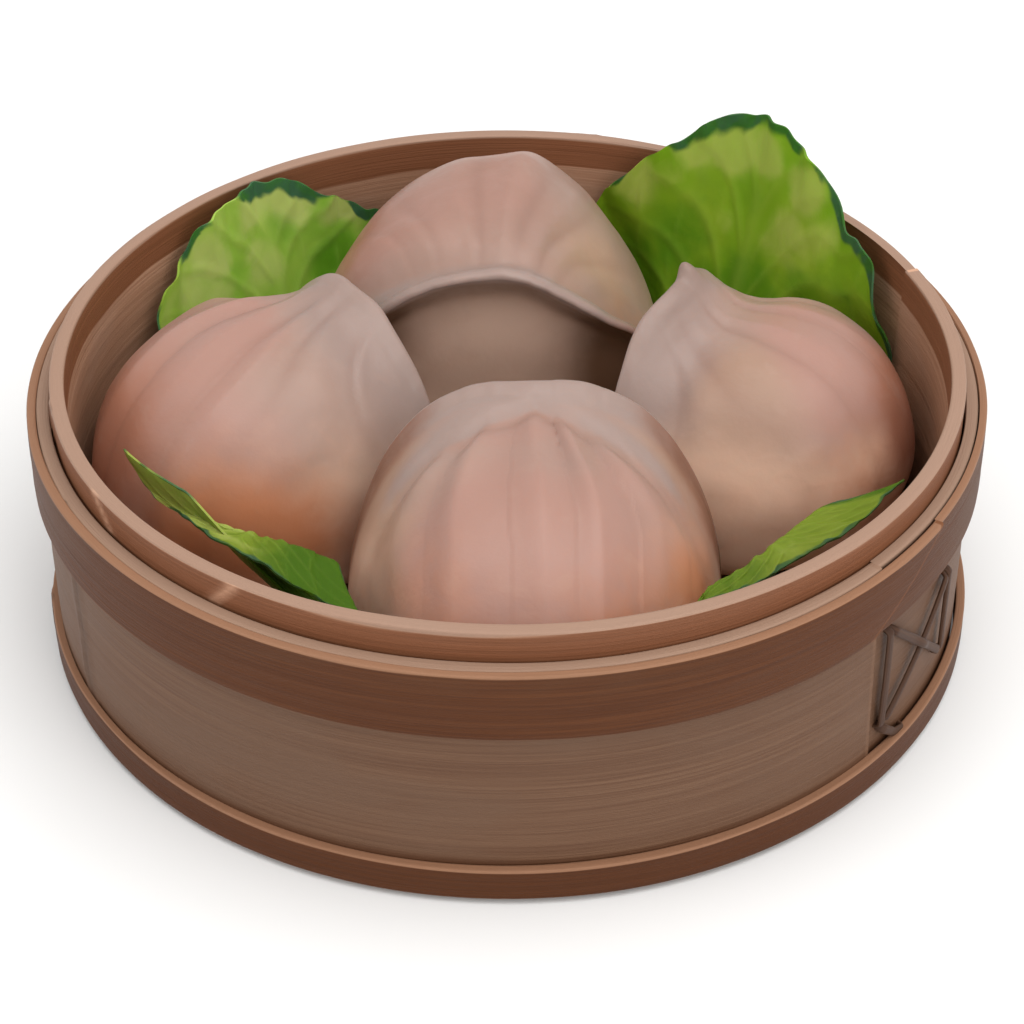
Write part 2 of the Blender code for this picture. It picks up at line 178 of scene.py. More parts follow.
# -------------------------------------------------------------- materials
class Look:
    """A node material, built from small calls that return sockets."""

    def __init__(self, name, **values):
        self.mat = bpy.data.materials.new(name)
        self.mat.use_nodes = True
        self.tree = self.mat.node_tree
        self.bsdf = self.tree.nodes["Principled BSDF"]
        for key, value in values.items():
            self.bsdf.inputs[key.replace("_", " ")].default_value = value

    def put(self, kind, inputs=(), **props):
        n = self.tree.nodes.new(kind)
        for k, v in props.items():
            setattr(n, k, v)
        for key, v in dict(inputs).items():
            s = n.inputs[key]
            if isinstance(v, bpy.types.NodeSocket):
                self.tree.links.new(v, s)
            else:
                s.default_value = v
        return n

    def mark(self, name, out="Fac"):
        return self.put("ShaderNodeAttribute", attribute_name=name).outputs[out]

    def object_coords(self):
        return self.put("ShaderNodeTexCoord").outputs["Object"]

    def stretch(self, vec, scale):
        return self.put("ShaderNodeMapping", {"Vector": vec, "Scale": scale}).outputs["Vector"]

    def noise(self, vec, scale, detail=3.0, rough=0.5, twist=0.0):
        return self.put("ShaderNodeTexNoise", {"Vector": vec, "Scale": scale, "Detail": detail,
                                               "Roughness": rough, "Distortion": twist}).outputs["Fac"]

    def cells(self, vec, scale, feature="F1"):
        return self.put("ShaderNodeTexVoronoi", {"Vector": vec, "Scale": scale},
                        feature=feature).outputs["Distance"]

    def span(self, v, a, b, c=0.0, d=1.0):
        return self.put("ShaderNodeMapRange", {"Value": v, "From Min": a, "From Max": b,
                                               "To Min": c, "To Max": d},
                        interpolation_type="SMOOTHSTEP").outputs["Result"]

    def sum(self, a, b, op="ADD"):
        n = self.put("ShaderNodeMath", operation=op)
        for s, v in zip(n.inputs, (a, b)):
            if isinstance(v, bpy.types.NodeSocket):
                self.tree.links.new(v, s)
            else:
                s.default_value = v
        return n.outputs[0]

    def times(self, a, b):
        return self.sum(a, b, "MULTIPLY")

    def mix(self, fac, a, b, blend="MIX"):
        n = self.put("ShaderNodeMix", data_type="RGBA", blend_type=blend)
        for s, v in ((n.inputs[0], fac), (n.inputs[6], a), (n.inputs[7], b)):
            if isinstance(v, bpy.types.NodeSocket):
                self.tree.links.new(v, s)
            elif isinstance(v, (tuple, list)):
                s.default_value = (*v, 1.0)
            else:
                s.default_value = v
        return n.outputs[2]

    def bump(self, height, distance, strength=1.0, normal=None):
        ins = {"Height": height, "Distance": distance, "Strength": strength}
        if normal is not None:
            ins["Normal"] = normal
        return self.put("ShaderNodeBump", ins).outputs["Normal"]

    def wire(self, key, socket):
        self.tree.links.new(socket, self.bsdf.inputs[key])


def bamboo(name, pale, deep, grey, tint=None, edge=None, fibre=1.0, rough=0.52, shine=0.28, cut=0.8):
    """Steamed bamboo.  The mark "strip" is (along the fibres, across, through)
    in millimetres; "edge" is wear, "tint" a darker stain and painted shade, "end" cut fibres."""
    m = Look(name, Roughness=rough, Specular_IOR_Level=shine)
    strip = m.mark("strip", "Vector")
    threads = m.noise(m.stretch(strip, (0.022, 2.6, 2.6)), 1.0, 5.0, 0.62, 0.15)
    hairs = m.noise(m.stretch(strip, (0.05, 7.5, 7.5)), 1.0, 4.0, 0.6)
    bands = m.noise(m.stretch(strip, (0.012, 0.42, 0.42)), 1.0, 3.0, 0.5)
    cloud = m.noise(m.stretch(strip, (0.035, 0.085, 0.085)), 1.0, 3.0, 0.55, 0.4)
    col = m.mix(m.span(threads, 0.30, 0.72), deep, pale)
    col = m.mix(m.times(m.span(bands, 0.42, 0.68), 0.45), col, deep)
    col = m.mix(m.times(m.span(cloud, 0.40, 0.66), 0.55), col, grey)
    col = m.mix(m.times(m.span(hairs, 0.60, 0.78), 0.30 * fibre), col, tuple(0.55 * c for c in deep))
    if tint is not None:
        soft = m.sum(m.mark("tint"), m.times(m.sum(cloud, -0.5), 0.35))
        col = m.mix(m.times(m.span(soft, 0.25, 0.75), 0.9), col,
                    m.mix(m.span(threads, 0.3, 0.7), tuple(0.78 * c for c in tint), tint))
    if edge is not None:
        worn = m.sum(m.mark("edge"), m.times(m.sum(threads, -0.5), 0.5))
        col = m.mix(m.times(m.span(worn, 0.35, 0.75), 0.85), col, edge)
    col = m.mix(m.times(m.mark("node"), 0.45), col, tuple(0.45 * c for c in deep))
    col = m.mix(m.times(m.mark("end"), cut), col, tuple(min(1.0, 1.35 * c) for c in pale))
    m.wire("Base Color", col)
    m.wire("Roughness", m.sum(m.times(threads, 0.22), rough - 0.1))
    grain = m.sum(m.times(threads, 0.6), m.times(hairs, 0.4))
    m.wire("Normal", m.bump(grain, 0.00022 * fibre, 0.7))
    return m.mat


# One bamboo, in two colours: the wall's is darker as painted shade on its upright outer face, the ring's paler as
# painted light on its shaded inner face
WALL = bamboo("bamboo", (0.162, 0.086, 0.049), (0.113, 0.053, 0.028), (0.138, 0.077, 0.047),
              tint=(0.082, 0.029, 0.011), edge=(0.33, 0.208, 0.145), shine=0.20, cut=0.28)
RIM = bamboo("bamboo_rim", (0.455, 0.258, 0.165), (0.335, 0.170, 0.098), (0.395, 0.235, 0.160),
             tint=(0.202, 0.068, 0.025), edge=(0.315, 0.195, 0.138))
HOOP = bamboo("bamboo_hoop", (0.110, 0.0365, 0.0115), (0.072, 0.022, 0.0065), (0.094, 0.038, 0.016),
              tint=(0.088, 0.0265, 0.0068), edge=(0.31, 0.160, 0.092), rough=0.50, shine=0.15)
SLAT = bamboo("bamboo_slat", (0.31, 0.19, 0.11), (0.19, 0.10, 0.055), (0.26, 0.165, 0.10),
              edge=(0.36, 0.24, 0.16))
CANE = bamboo("cane", (0.086, 0.040, 0.022), (0.046, 0.019, 0.010), (0.066, 0.034, 0.022),
              edge=(0.130, 0.070, 0.042), rough=0.50, shine=0.16)


def dough():
    """Steamed wheat-starch wrapper: paler where it is thick, the prawn's pink
    and orange where it is thin over the filling.  Marks: fill_a is (pink,
    orange, tan); the second mark is (pale, crease, hollow): paler dough and
    painted highlights, painted shade in the pleat grooves, and a lighter
    colour painted in as light on the shaded hollow side; the third is (brown,
    low, dark): painted shade in red-brown on the sides and near the base, a
    lighter colour painted in as light on the lower belly, and painted shade
    in deep brown under the lip."""
    m = Look("dough", Roughness=0.40, Specular_IOR_Level=0.38, Subsurface_Weight=0.18,
             Subsurface_Scale=0.0018, Subsurface_Radius=(1.0, 0.45, 0.30), IOR=1.42,
             Coat_Weight=0.10, Coat_Roughness=0.28)
    co = m.object_coords()
    a = m.put("ShaderNodeSeparateXYZ", {"Vector": m.mark("fill_a", "Vector")})
    b = m.put("ShaderNodeSeparateXYZ", {"Vector": m.mark("fill_b", "Vector")})
    pink, orange, tan = a.outputs
    pale, crease, hollow = b.outputs
    c = m.put("ShaderNodeSeparateXYZ", {"Vector": m.mark("fill_c", "Vector")})
    brown, low, dark = c.outputs
    broad = m.noise(co, 95.0, 3.0, 0.5, 0.5)
    mid = m.noise(co, 240.0, 3.0, 0.55, 0.4)
    fine = m.noise(co, 1300.0, 3.0, 0.6)

    def soft(mark, wander, much=0.55, lo=0.12, hi=0.95):
        return m.span(m.sum(mark, m.times(m.sum(wander, -0.5), much)), lo, hi)

    col = m.mix(m.span(broad, 0.35, 0.65), (0.325, 0.208, 0.165), (0.345, 0.230, 0.185))
    col = m.mix(soft(tan, mid), col, (0.335, 0.206, 0.145))
    # painted light: a lighter colour on the lower belly, which lies in shade
    col = m.mix(soft(low, mid, 0.2, 0.0, 1.0), col, (0.76, 0.50, 0.365))
    col = m.mix(soft(pink, broad), col, (0.360, 0.200, 0.158))
    # paler thick dough, and painted highlights
    col = m.mix(soft(pale, mid, 0.4), col, (0.300, 0.214, 0.184))
    # painted light: a lighter colour over the hollow side, which lies in shade
    col = m.mix(m.times(hollow, 0.85), col, (0.510, 0.345, 0.265))
    col = m.mix(soft(orange, mid, 0.6, 0.0, 1.25), col, (0.515, 0.202, 0.096))
    # painted shade: red-brown on the sides and near the base
    col = m.mix(soft(brown, mid, 0.5, 0.1, 1.1), col, (0.330, 0.140, 0.088))
    col = m.mix(m.times(m.span(mid, 0.56, 0.74), 0.14), col, (0.40, 0.29, 0.24))
    # painted shade in the pleat grooves and the valley behind the crest
    col = m.mix(m.times(crease, 0.28), col, (0.215, 0.108, 0.078))
    # painted shade: deep brown under the lip and on its edge
    col = m.mix(m.times(soft(dark, mid, 0.25, 0.0, 1.0), 0.92), col, (0.098, 0.043, 0.017))
    m.wire("Base Color", col)
    m.wire("Roughness", m.sum(m.times(mid, 0.16), 0.33))
    skin = m.sum(m.times(mid, 0.55), m.times(fine, 0.25))
    m.wire("Normal", m.bump(skin, 0.00026, 0.45))
    return m.mat


def lettuce(name, base, fresh, pale, deep, rim, rim2):
    """Lettuce.  Marks: leaf is (margin, vein, along), tone is (pale, deep,
    fresh): paler lobes between the veins, deeper green in clouds, and painted shade as deeper green towards the base
    and on the front leaves' stalks."""
    m = Look(name, Roughness=0.50, Specular_IOR_Level=0.17, Subsurface_Weight=0.20,
             Subsurface_Scale=0.0022, Subsurface_Radius=(0.5, 1.0, 0.12), IOR=1.4)
    co = m.object_coords()
    s = m.put("ShaderNodeSeparateXYZ", {"Vector": m.mark("leaf", "Vector")})
    margin, vein, along = s.outputs
    t = m.put("ShaderNodeSeparateXYZ", {"Vector": m.mark("tone", "Vector")})
    light, dark, young = t.outputs
    patch = m.noise(co, 210.0, 3.0, 0.5, 0.6)
    fine = m.noise(co, 900.0, 4.0, 0.6)
    wander = m.times(m.sum(patch, -0.5), 0.7)
    col = m.mix(m.span(m.sum(young, wander), 0.15, 0.85), base, fresh)
    col = m.mix(m.span(m.sum(light, wander), 0.20, 0.90), col, pale)
    col = m.mix(m.span(m.sum(dark, wander), 0.20, 0.95), col, deep)
    col = m.mix(m.times(vein, 0.34), col, tuple(1.15 * c for c in pale))
    col = m.mix(m.span(m.sum(margin, wander), 0.25, 0.80), col, m.mix(m.span(patch, 0.42, 0.62), rim, rim2))
    col = m.mix(m.times(m.span(fine, 0.6, 0.8), 0.10), col, pale)
    m.wire("Base Color", col)
    m.wire("Roughness", m.sum(m.times(fine, 0.20), 0.42))
    m.wire("Normal", m.bump(m.sum(m.times(fine, 0.3), m.times(patch, 0.3)), 0.0003, 0.5))
    return m.mat


DOUGH = dough()
LEAF_DARK = lettuce("lettuce_dark", (0.160, 0.292, 0.009), (0.208, 0.325, 0.016), (0.300, 0.368, 0.062),
                    (0.082, 0.212, 0.005), (0.030, 0.098, 0.014), (0.034, 0.088, 0.038))
LEAF_PALE = lettuce("lettuce_pale", (0.205, 0.388, 0.036), (0.255, 0.408, 0.048), (0.380, 0.470, 0.118),
                    (0.108, 0.292, 0.013), (0.034, 0.125, 0.022), (0.036, 0.100, 0.048))
LEAF_LOW = lettuce("lettuce_low", (0.140, 0.198, 0.012), (0.165, 0.213, 0.018), (0.265, 0.315, 0.060),
                   (0.044, 0.105, 0.001), (0.034, 0.088, 0.024), (0.040, 0.090, 0.042))


# ----------------------------------------------------------------- basket
def rounded(r0, r1, z0, z1, top, low, up_rows, in_rows, arc=4):
    """Closed outline of an upright strip: outer face up, over the top, inner
    face down, and back under.  Returns (r, z, side) with side 1 on the outer
    face, 0 on the inner."""
    pts = []
    for k in range(up_rows + 1):
        pts.append((r1, z0 + low + (z1 - top - z0 - low) * k / up_rows, 1.0))
    for k in range(1, arc + 1):
        a = math.pi / 2 * k / arc
        pts.append((r1 - top * (1 - math.cos(a)), z1 - top * (1 - math.sin(a)), 1.0 - 0.5 * k / arc))
    mid = 3
    for k in range(1, mid):
        pts.append((r1 - top + (r0 + top - r1 + top) * k / mid, z1, 0.5))
    for k in range(arc + 1):
        a = math.pi / 2 * k / arc
        pts.append((r0 + top * (1 - math.sin(a)), z1 - top * (1 - math.cos(a)), 0.5 - 0.5 * k / arc))
    for k in range(1, in_rows + 1):
        pts.append((r0, z1 - top - (z1 - top - z0 - low) * k / in_rows, 0.0))
    for k in range(1, arc):
        a = math.pi / 2 * k / arc
        pts.append((r0 + low * (1 - math.cos(a)), z0 + low * (1 - math.sin(a)), 0.0))
    pts.append((r0 + low, z0, 0.25))
    pts.append((r1 - low, z0, 0.75))
    for k in range(1, arc):
        a = math.pi / 2 * k / arc
        pts.append((r1 - low * (1 - math.sin(a)), z0 + low * (1 - math.cos(a)), 1.0))
    return np.array(pts)


def bent_strip(name, mat, r0, r1, z0, z1, seed, cols=420, up=40, inn=14, top=0.5, low=0.3,
               lap=0.0, slant=0.0, lap_z=0.0, step=0.0, inner_step=0.0, nodes=(), wave=0.12,
               relief=0.05, tint=None, edge_h=1.2, scuffs=()):
    """Bamboo strip bent to a ring.  Its outer end is thinned and laid over the
    other: the ring drops by step at the azimuth lap (slanted by slant degrees
    per mm about the height lap_z) and builds up again over 70 degrees."""
    prof = rounded(r0, r1, z0, z1, top, low, up, inn)
    m = len(prof)
    r, z, side = prof.T
    t = np.concatenate([np.linspace(0, 0.995, cols - 12, endpoint=False),
                        np.linspace(0.995, 1.0, 12)])
    t = np.unique(np.concatenate([t, [0.0008, 0.002]]))
    n = len(t)
    az = np.radians(lap + slant * (z[None, :] - lap_z)) + TAU * t[:, None]
    R = np.repeat(r[None, :], n, 0)
    Z = np.repeat(z[None, :], n, 0)
    S = np.repeat(side[None, :], n, 0)
    T = np.repeat(t[:, None], m, 1)
    arc = TAU * T * r1
    # slow waves in the height, uneven thickness, fibre relief
    ring = np.stack([np.cos(TAU * T) * 30, np.sin(TAU * T) * 30, np.zeros_like(T)], -1)
    high = smooth(Z, z0 + 0.3 * (z1 - z0), z1)
    Z = Z + wave * high * fbm(ring, 14.0, 3, seed) * 1.6
    outer = S > 0.6
    inner = S < 0.4
    thick = 0.10 * fbm(ring + 50, 9.0, 2, seed + 3)
    strip = np.stack([arc * 0.02, Z * 1.0, np.full_like(Z, 7.0 * seed)], -1)
    fibres = relief * (0.65 * noise(strip, 1.1, seed + 5) + 0.6 * noise(strip * [2.5, 2.2, 1], 1.0, seed + 6))
    bulge = 0.12 * noise(np.stack([arc * 0.5, Z, 0 * Z + seed], -1), 16.0, seed + 9)
    R = R + np.where(outer, fibres + bulge + thick, 0) - np.where(inner, fibres, 0)
    if step:
        R = R - np.where(S > 0.45, step * (1 - smooth(T, 0.0, 0.2)), 0.0) * (T < 0.999)
    if inner_step:
        R = R + np.where(S < 0.45, inner_step * (1 - smooth(T, 0.0, 0.2)), 0.0) * (T < 0.999)
    knot = np.zeros_like(R)
    for where, tilt in nodes:
        d = (np.degrees(az) - where - tilt * (Z - (z0 + z1) / 2) + 180) % 360 - 180
        d = d + 0.5 * noise(np.stack([0 * Z, Z, Z * 0 + seed], -1), 3.0, seed)
        ridge = bell(d, 0, 0.55) + 0.6 * bell(d, 1.9, 0.5)
        R = R + np.where(outer, 0.28 * ridge, 0.0)
        knot = np.maximum(knot, np.where(outer, bell(d, 0.95, 1.0), 0.0))
    verts = np.stack([R * np.cos(az), R * np.sin(az), Z], -1).reshape(-1, 3)
    faces = [grid_faces(n, m, wrap_rows=True, wrap_cols=True)]
    edge = np.maximum(smooth(Z, z1 - edge_h, z1 - 0.15), 0.45 * smooth(-Z, -z0 - 0.9, -z0 - 0.1))
    end = np.where(T > 0.9984, 1.0, 0.0) * (S > 0.45)
    for a0, h0, a1, h1 in scuffs:
        along = np.clip((Z - h0) / (h1 - h0), 0, 1)
        off = ((np.degrees(az) - a0 - (a1 - a0) * along + 180) % 360 - 180) * math.pi / 180 * r1
        end = np.maximum(end, 0.75 * bell(off, 0, 0.9) * (S > 0.55)
                         * (Z > min(h0, h1) - 0.5) * (Z < max(h0, h1) + 0.5))
    marks = {"strip": np.stack([arc + 400 * seed, Z, R], -1).reshape(-1, 3),
             "edge": edge.ravel(), "end": end.ravel(), "node": knot.ravel(),
             "tint": (tint(R, Z, S, az) if tint else 0 * Z).ravel()}
    return make(name, verts, faces, mat, marks, sharp=50)


def ring_stain_and_shade(R, Z, S, az):
    """The steamed band round the inside of the rim, darker towards the bottom inside, and painted shade over the
    outer face, in the gap by the wall.
    """
    wob = 0.5 * fbm(np.stack([np.cos(az) * 40, np.sin(az) * 40, Z * 0.3], -1), 11.0, 3, 4)
    inside = (S < 0.45) * (smooth(Z, RING_TOP - 5.8 + wob, RING_TOP - 4.6 + wob)
                           * (1 - smooth(Z, RING_TOP - 0.5, RING_TOP - 0.1))
                           + 0.55 * (1 - smooth(Z, 14, 30)))
    outside = (S > 0.55) * (1 - smooth(Z, RING_TOP - 0.45, RING_TOP - 0.2))
    return np.clip(inside + outside, 0, 1)


def wall_shade(R, Z, S, az):
    """Painted shade: darker towards the foot, close under the upper hoop, and on the inner face."""
    wob = 0.8 * fbm(np.stack([np.cos(az) * 40, np.sin(az) * 40, Z * 0.3], -1), 12.0, 3, 8)
    low = 0.65 * (1 - smooth(Z, LOW_HOOP_Z[1] - 0.6, LOW_HOOP_Z[1] + 3.2 + wob))
    high = 0.35 * smooth(Z, TOP_HOOP_Z[0] - 2.6 + wob, TOP_HOOP_Z[0] + 0.4)
    return np.clip((S > 0.5) * (low + high) * (Z < TOP_HOOP_Z[0] + 2) + 0.5 * (S < 0.45), 0, 1)


finish_piece(bent_strip("wall_strip", WALL, R_WALL_IN + 0.05, R_WALL_OUT - 0.05, 0.0, WALL_H, 1,
                        up=64, inn=10, top=0.32, lap=-43.2, slant=-0.03, lap_z=18, step=0.42,
                        nodes=((128, 0.05), (-152, -0.04)), tint=wall_shade, wave=0.10, edge_h=0.6),
             ["outer_wall"])
finish_piece(bent_strip("ring_strip", RIM, R_RING_IN, R_RING_OUT + 0.1, RING_LOW, RING_TOP, 2,
                        up=36, inn=56, top=0.30, lap=19.8, slant=-0.06, lap_z=33, step=0.2,
                        inner_step=0.45, nodes=((-168, 0.04), (77, 0.03)), tint=ring_stain_and_shade, wave=0.10,
                        edge_h=0.45, scuffs=((-147.1, 40.0, -143.9, 36.6), (-125.0, 36.7, -122.3, 39.8))),
             ["inner_ring"])
finish_piece(bent_strip("hoop_top", HOOP, R_WALL_OUT - 0.12, R_HOOP - 0.05, *TOP_HOOP_Z, 3,
                        up=24, inn=4, top=0.30, low=0.25, lap=-32.4, slant=1.386, lap_z=TOP_HOOP_Z[1],
                        step=0.42, nodes=((64, 0.06),), wave=0.14, edge_h=0.42),
             ["top_hoop"])
# the low hoop is tinted darker all over: painted shade along the foot
finish_piece(bent_strip("hoop_low", HOOP, R_WALL_OUT - 0.12, R_HOOP - 0.1, *LOW_HOOP_Z, 4,
                        up=12, inn=3, top=0.25, low=0.25, lap=158, slant=2.2, lap_z=3,
                        step=0.40, nodes=((-172, 0.1),), wave=0.10, edge_h=0.35,
                        tint=lambda R, Z, S, az: 0.8 + 0 * Z),
             ["bottom_hoop"])


def flat_strip(name, mat, x_mid, y_mid, half_w, z0, z1, along_x, seed, limit, cols=40):
    """Split bamboo slat: rounded skin side, fibres along it, ends that follow
    the round wall."""
    rows = 90
    prof = []
    up, e = 12, 0.45
    for k in range(up + 1):
        u = -1 + 2 * k / up
        prof.append((u * (half_w - e), z1 - 0.22 * u * u))
    for k in range(1, 4):
        a = math.pi / 2 * k / 4
        prof.append((half_w - e + e * math.sin(a), z1 - 0.22 - e * (1 - math.cos(a))))
    prof.append((half_w, z1 - 0.8))
    prof.append((half_w, z0 + 0.3))
    prof.append((half_w - 0.3, z0))
    for k in range(1, 5):
        prof.append((half_w - 0.3 - (2 * half_w - 0.6) * k / 5, z0))
    prof.append((-half_w + 0.3, z0))
    prof.append((-half_w, z0 + 0.3))
    prof.append((-half_w, z1 - 0.8))
    for k in range(3, 0, -1):
        a = math.pi / 2 * k / 4
        prof.append((-half_w + e - e * math.sin(a), z1 - 0.22 - e * (1 - math.cos(a))))
    prof = np.array(prof)
    m = len(prof)
    w, z = prof.T
    across = (x_mid if not along_x else y_mid) + w
    reach = np.sqrt(np.maximum(limit ** 2 - across ** 2, 0)) - 0.15
    t = np.linspace(-1, 1, rows)
    L = t[:, None] * reach[None, :]
    W = np.repeat(across[None, :], rows, 0)
    Z = np.repeat(z[None, :], rows, 0)
    strip = np.stack([L * 0.03, W, Z + 3 * seed], -1)
    W = W + 0.14 * noise(np.stack([L, 0 * W, 0 * W + seed], -1), 14.0, seed)
    top = smooth(Z, z1 - 0.5, z1 - 0.2)
    Z = Z + top * 0.06 * noise(strip, 0.9, seed + 1) - 0.05 * top
    if along_x:
        verts = np.stack([L, W, Z], -1)
    else:
        verts = np.stack([W, L, Z], -1)
    verts = verts.reshape(-1, 3)
    ends = np.array([verts[:m].mean(0), verts[-m:].mean(0)])
    verts = np.concatenate([verts, ends])
    j = np.arange(m)
    caps = np.concatenate([np.stack([0 * j + rows * m, (j + 1) % m, j], 1),
                           np.stack([0 * j + rows * m + 1, (rows - 1) * m + j, (rows - 1) * m + (j + 1) % m], 1)])
    ext = lambda a, v: np.concatenate([a.ravel(), [v, v]])
    marks = {"strip": np.concatenate([np.stack([L + 300 * seed, W, Z], -1).reshape(-1, 3), ends]),
             "edge": ext(smooth(np.abs(W - across.mean()), half_w - 1.0, half_w - 0.2) * top * 0.8, 0),
             "end": ext(0 * Z, 1.0), "node": ext(0 * Z, 0.0), "tint": ext(0 * Z, 0.0)}
    return make(name, verts, [grid_faces(rows, m, wrap_cols=True), caps], mat, marks, sharp=45)


for node in sorted(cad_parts):
    if node.startswith(("floor_slat", "floor_bar")):
        lo, hi = cad(node)
        along_x = node.startswith("floor_bar")
        mid = (lo + hi) / 2
        half = (hi[1] - lo[1]) / 2 if along_x else (hi[0] - lo[0]) / 2
        number = sum(ord(c) for c in node) % 97
        ob = flat_strip(node.replace("floor_", "") + "_strip", SLAT, mid[0], mid[1], half, lo[2], hi[2],
                        along_x, number, R_RING_OUT - 0.1)
        finish_piece(ob, [node])

# the hidden ring that carries the floor keeps its notches, so it stays the
# CAD node and takes a grain from its own coordinates
floor_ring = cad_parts["floor_ring"]
co = np.array([v.co for v in floor_ring.data.vertices]) / MM
SUPPORT = Look("bamboo_support", Roughness=0.6, Specular_IOR_Level=0.3)
_co = SUPPORT.object_coords()
_rows = SUPPORT.noise(SUPPORT.stretch(_co, (90, 90, 2600)), 1.0, 4.0, 0.6)
_cloud = SUPPORT.noise(_co, 80.0, 3.0, 0.5)
_c = SUPPORT.mix(SUPPORT.span(_rows, 0.3, 0.7), (0.21, 0.12, 0.065), (0.36, 0.23, 0.14))
_c = SUPPORT.mix(SUPPORT.times(SUPPORT.span(_cloud, 0.4, 0.65), 0.5), _c, (0.27, 0.18, 0.12))
SUPPORT.wire("Base Color", _c)
SUPPORT.wire("Normal", SUPPORT.bump(_rows, 0.0002, 0.6))
floor_ring.data.materials.clear()
floor_ring.data.materials.append(SUPPORT.mat)


# ----------------------------------------------------------------- lacing
LACE_AZ, LACE_Z = (-41.2, -26.0), (9.0, 25.6)


def cane_run(points, lift, width=1.25, thick=0.62, sides=12, step=0.35, seed=0):
    """Flat cane through (azimuth, height) points on the wall; lift(t) is how
    far its middle lies off the wall's surface, t running from 0 to 1."""
    pts = np.array(points, float)
    seg = np.hypot(np.radians(np.diff(pts[:, 0])) * R_WALL_OUT, np.diff(pts[:, 1]))
    at = np.concatenate([[0], np.cumsum(seg)])
    n = max(int(at[-1] / step), 8)
    s = np.linspace(0, at[-1], n)
    az = np.radians(np.interp(s, at, pts[:, 0]))
    z = np.interp(s, at, pts[:, 1])
    t = s / at[-1]
    off = lift(t)
    r = R_WALL_OUT + off
    p = np.stack([r * np.cos(az), r * np.sin(az), z], 1)
    tan = np.gradient(p, axis=0)
    tan /= np.linalg.norm(tan, axis=1)[:, None]
    outw = np.stack([np.cos(az), np.sin(az), 0 * az], 1)
    side = np.cross(tan, outw)
    side /= np.linalg.norm(side, axis=1)[:, None]
    nrm = np.cross(side, tan)
    k = np.arange(sides) * TAU / sides
    wid = width * (1 + 0.07 * noise(np.stack([s, 0 * s, 0 * s + seed], 1), 3.0, seed))
    cx = np.sign(np.cos(k)) * np.abs(np.cos(k)) ** 0.7
    cz = np.sign(np.sin(k)) * np.abs(np.sin(k)) ** 0.8
    v = (p[:, None] + side[:, None] * (cx * 0.5)[None, :, None] * wid[:, None, None]
         + nrm[:, None] * (cz * 0.5 * thick)[None, :, None])
    strip = np.stack([np.repeat(s[:, None], sides, 1) + 90 * seed, np.repeat((cx * 0.6)[None], n, 0),
                      np.repeat((cz * 0.4)[None], n, 0)], -1)
    edge = np.repeat((np.abs(cx) > 0.8).astype(float)[None] * 0.5, n, 0)
    caps_c = np.stack([p[0], p[-1]])
    return v.reshape(-1, 3), strip.reshape(-1, 3), edge.ravel(), n, sides, caps_c


def lacing():
    a0, a1 = LACE_AZ
    z0, z1 = LACE_Z
    deep = -1.3                                   # where a cane ends inside the wall

    def lay(t, over=0.0, base=0.36):
        ends = np.minimum(smooth(t, 0.0, 0.07), smooth(1 - t, 0.0, 0.07))
        return deep + (base - deep) * ends + over * bell(t, 0.5, 0.09)

    runs = [([(a0, z0 - 0.4), (a0 + 0.1, (z0 + z1) / 2), (a0, z1 + 0.3)], lambda t: lay(t)),
            ([(a1, z0 + 1.2), (a1 - 0.1, (z0 + z1) / 2), (a1, z1 - 0.8)], lambda t: lay(t)),
            ([(a0 + 0.15, z0 + 0.1), (a1 - 0.1, z1 - 1.1)], lambda t: lay(t)),
            ([(a0 + 0.15, z1 - 0.2), (a1 - 0.1, z0 + 1.5)], lambda t: lay(t, 0.55)),
            ([(a0 + 0.3, z0 - 0.2), (a0 + 3.2, z0 - 3.0), (a0 + 5.6, z0 - 3.9)], lambda t: lay(t, 0.0))]
    verts, strips, edges, faces, caps = [], [], [], [], []
    base = 0
    for k, (points, lift) in enumerate(runs):
        v, s, e, n, sides, ends = cane_run(points, lift, seed=k + 1)
        faces.append(grid_faces(n, sides, wrap_cols=True, start=base))
        verts += [v, ends]
        strips += [s, s[[0, -1]]]
        edges += [e, [0, 0]]
        j = np.arange(sides)
        c = base + n * sides
        caps.append(np.stack([0 * j + c, base + j, base + (j + 1) % sides], 1))
        caps.append(np.stack([0 * j + c + 1, base + (n - 1) * sides + (j + 1) % sides,
                              base + (n - 1) * sides + j], 1))
        base = c + 2
    verts = np.concatenate(verts)
    # the runs as made wind the other way round from their caps' test volume
    zero = np.zeros(len(verts))
    marks = {"strip": np.concatenate(strips), "edge": np.concatenate(edges),
             "end": zero, "node": zero, "tint": zero}
    return make("cane_lacing", verts, [np.concatenate(faces), np.concatenate(caps)], CANE, marks, sharp=70)


finish_piece(lacing(), ["lacing"])

# -------------------------------------------------------------- dumplings
# One cross-section square to the crest, as (outwards, up, dome) shares of the
# dumpling's depth and height, and the four dumplings, as the CAD has them; the
# crest is a little softer here and the pleats are finer.
SECTION = [(0.004, 1.000, 0), (0.030, 0.991, 0), (0.060, 0.978, 0.05), (0.10, 0.968, 0.3),
           (0.17, 0.962, 0.7), (0.29, 0.965, 1), (0.45, 0.970, 1), (0.62, 0.940, 1), (0.78, 0.855, 1),
           (0.91, 0.71, 1), (0.985, 0.53, 1), (1.0, 0.35, 1), (0.965, 0.17, 1),
           (0.88, 0.05, 1), (0.74, 0.0, 1), (0.40, 0.0, 0), (0.16, 0.0, 0),
           (0.04, 0.04, 0), (0.0, 0.18, 0), (0.036, 0.40, 0), (0.053, 0.62, 0),
           (0.045, 0.80, 0), (0.012, 0.905, 0), (-0.012, 0.965, 0), (-0.014, 0.990, 0)]
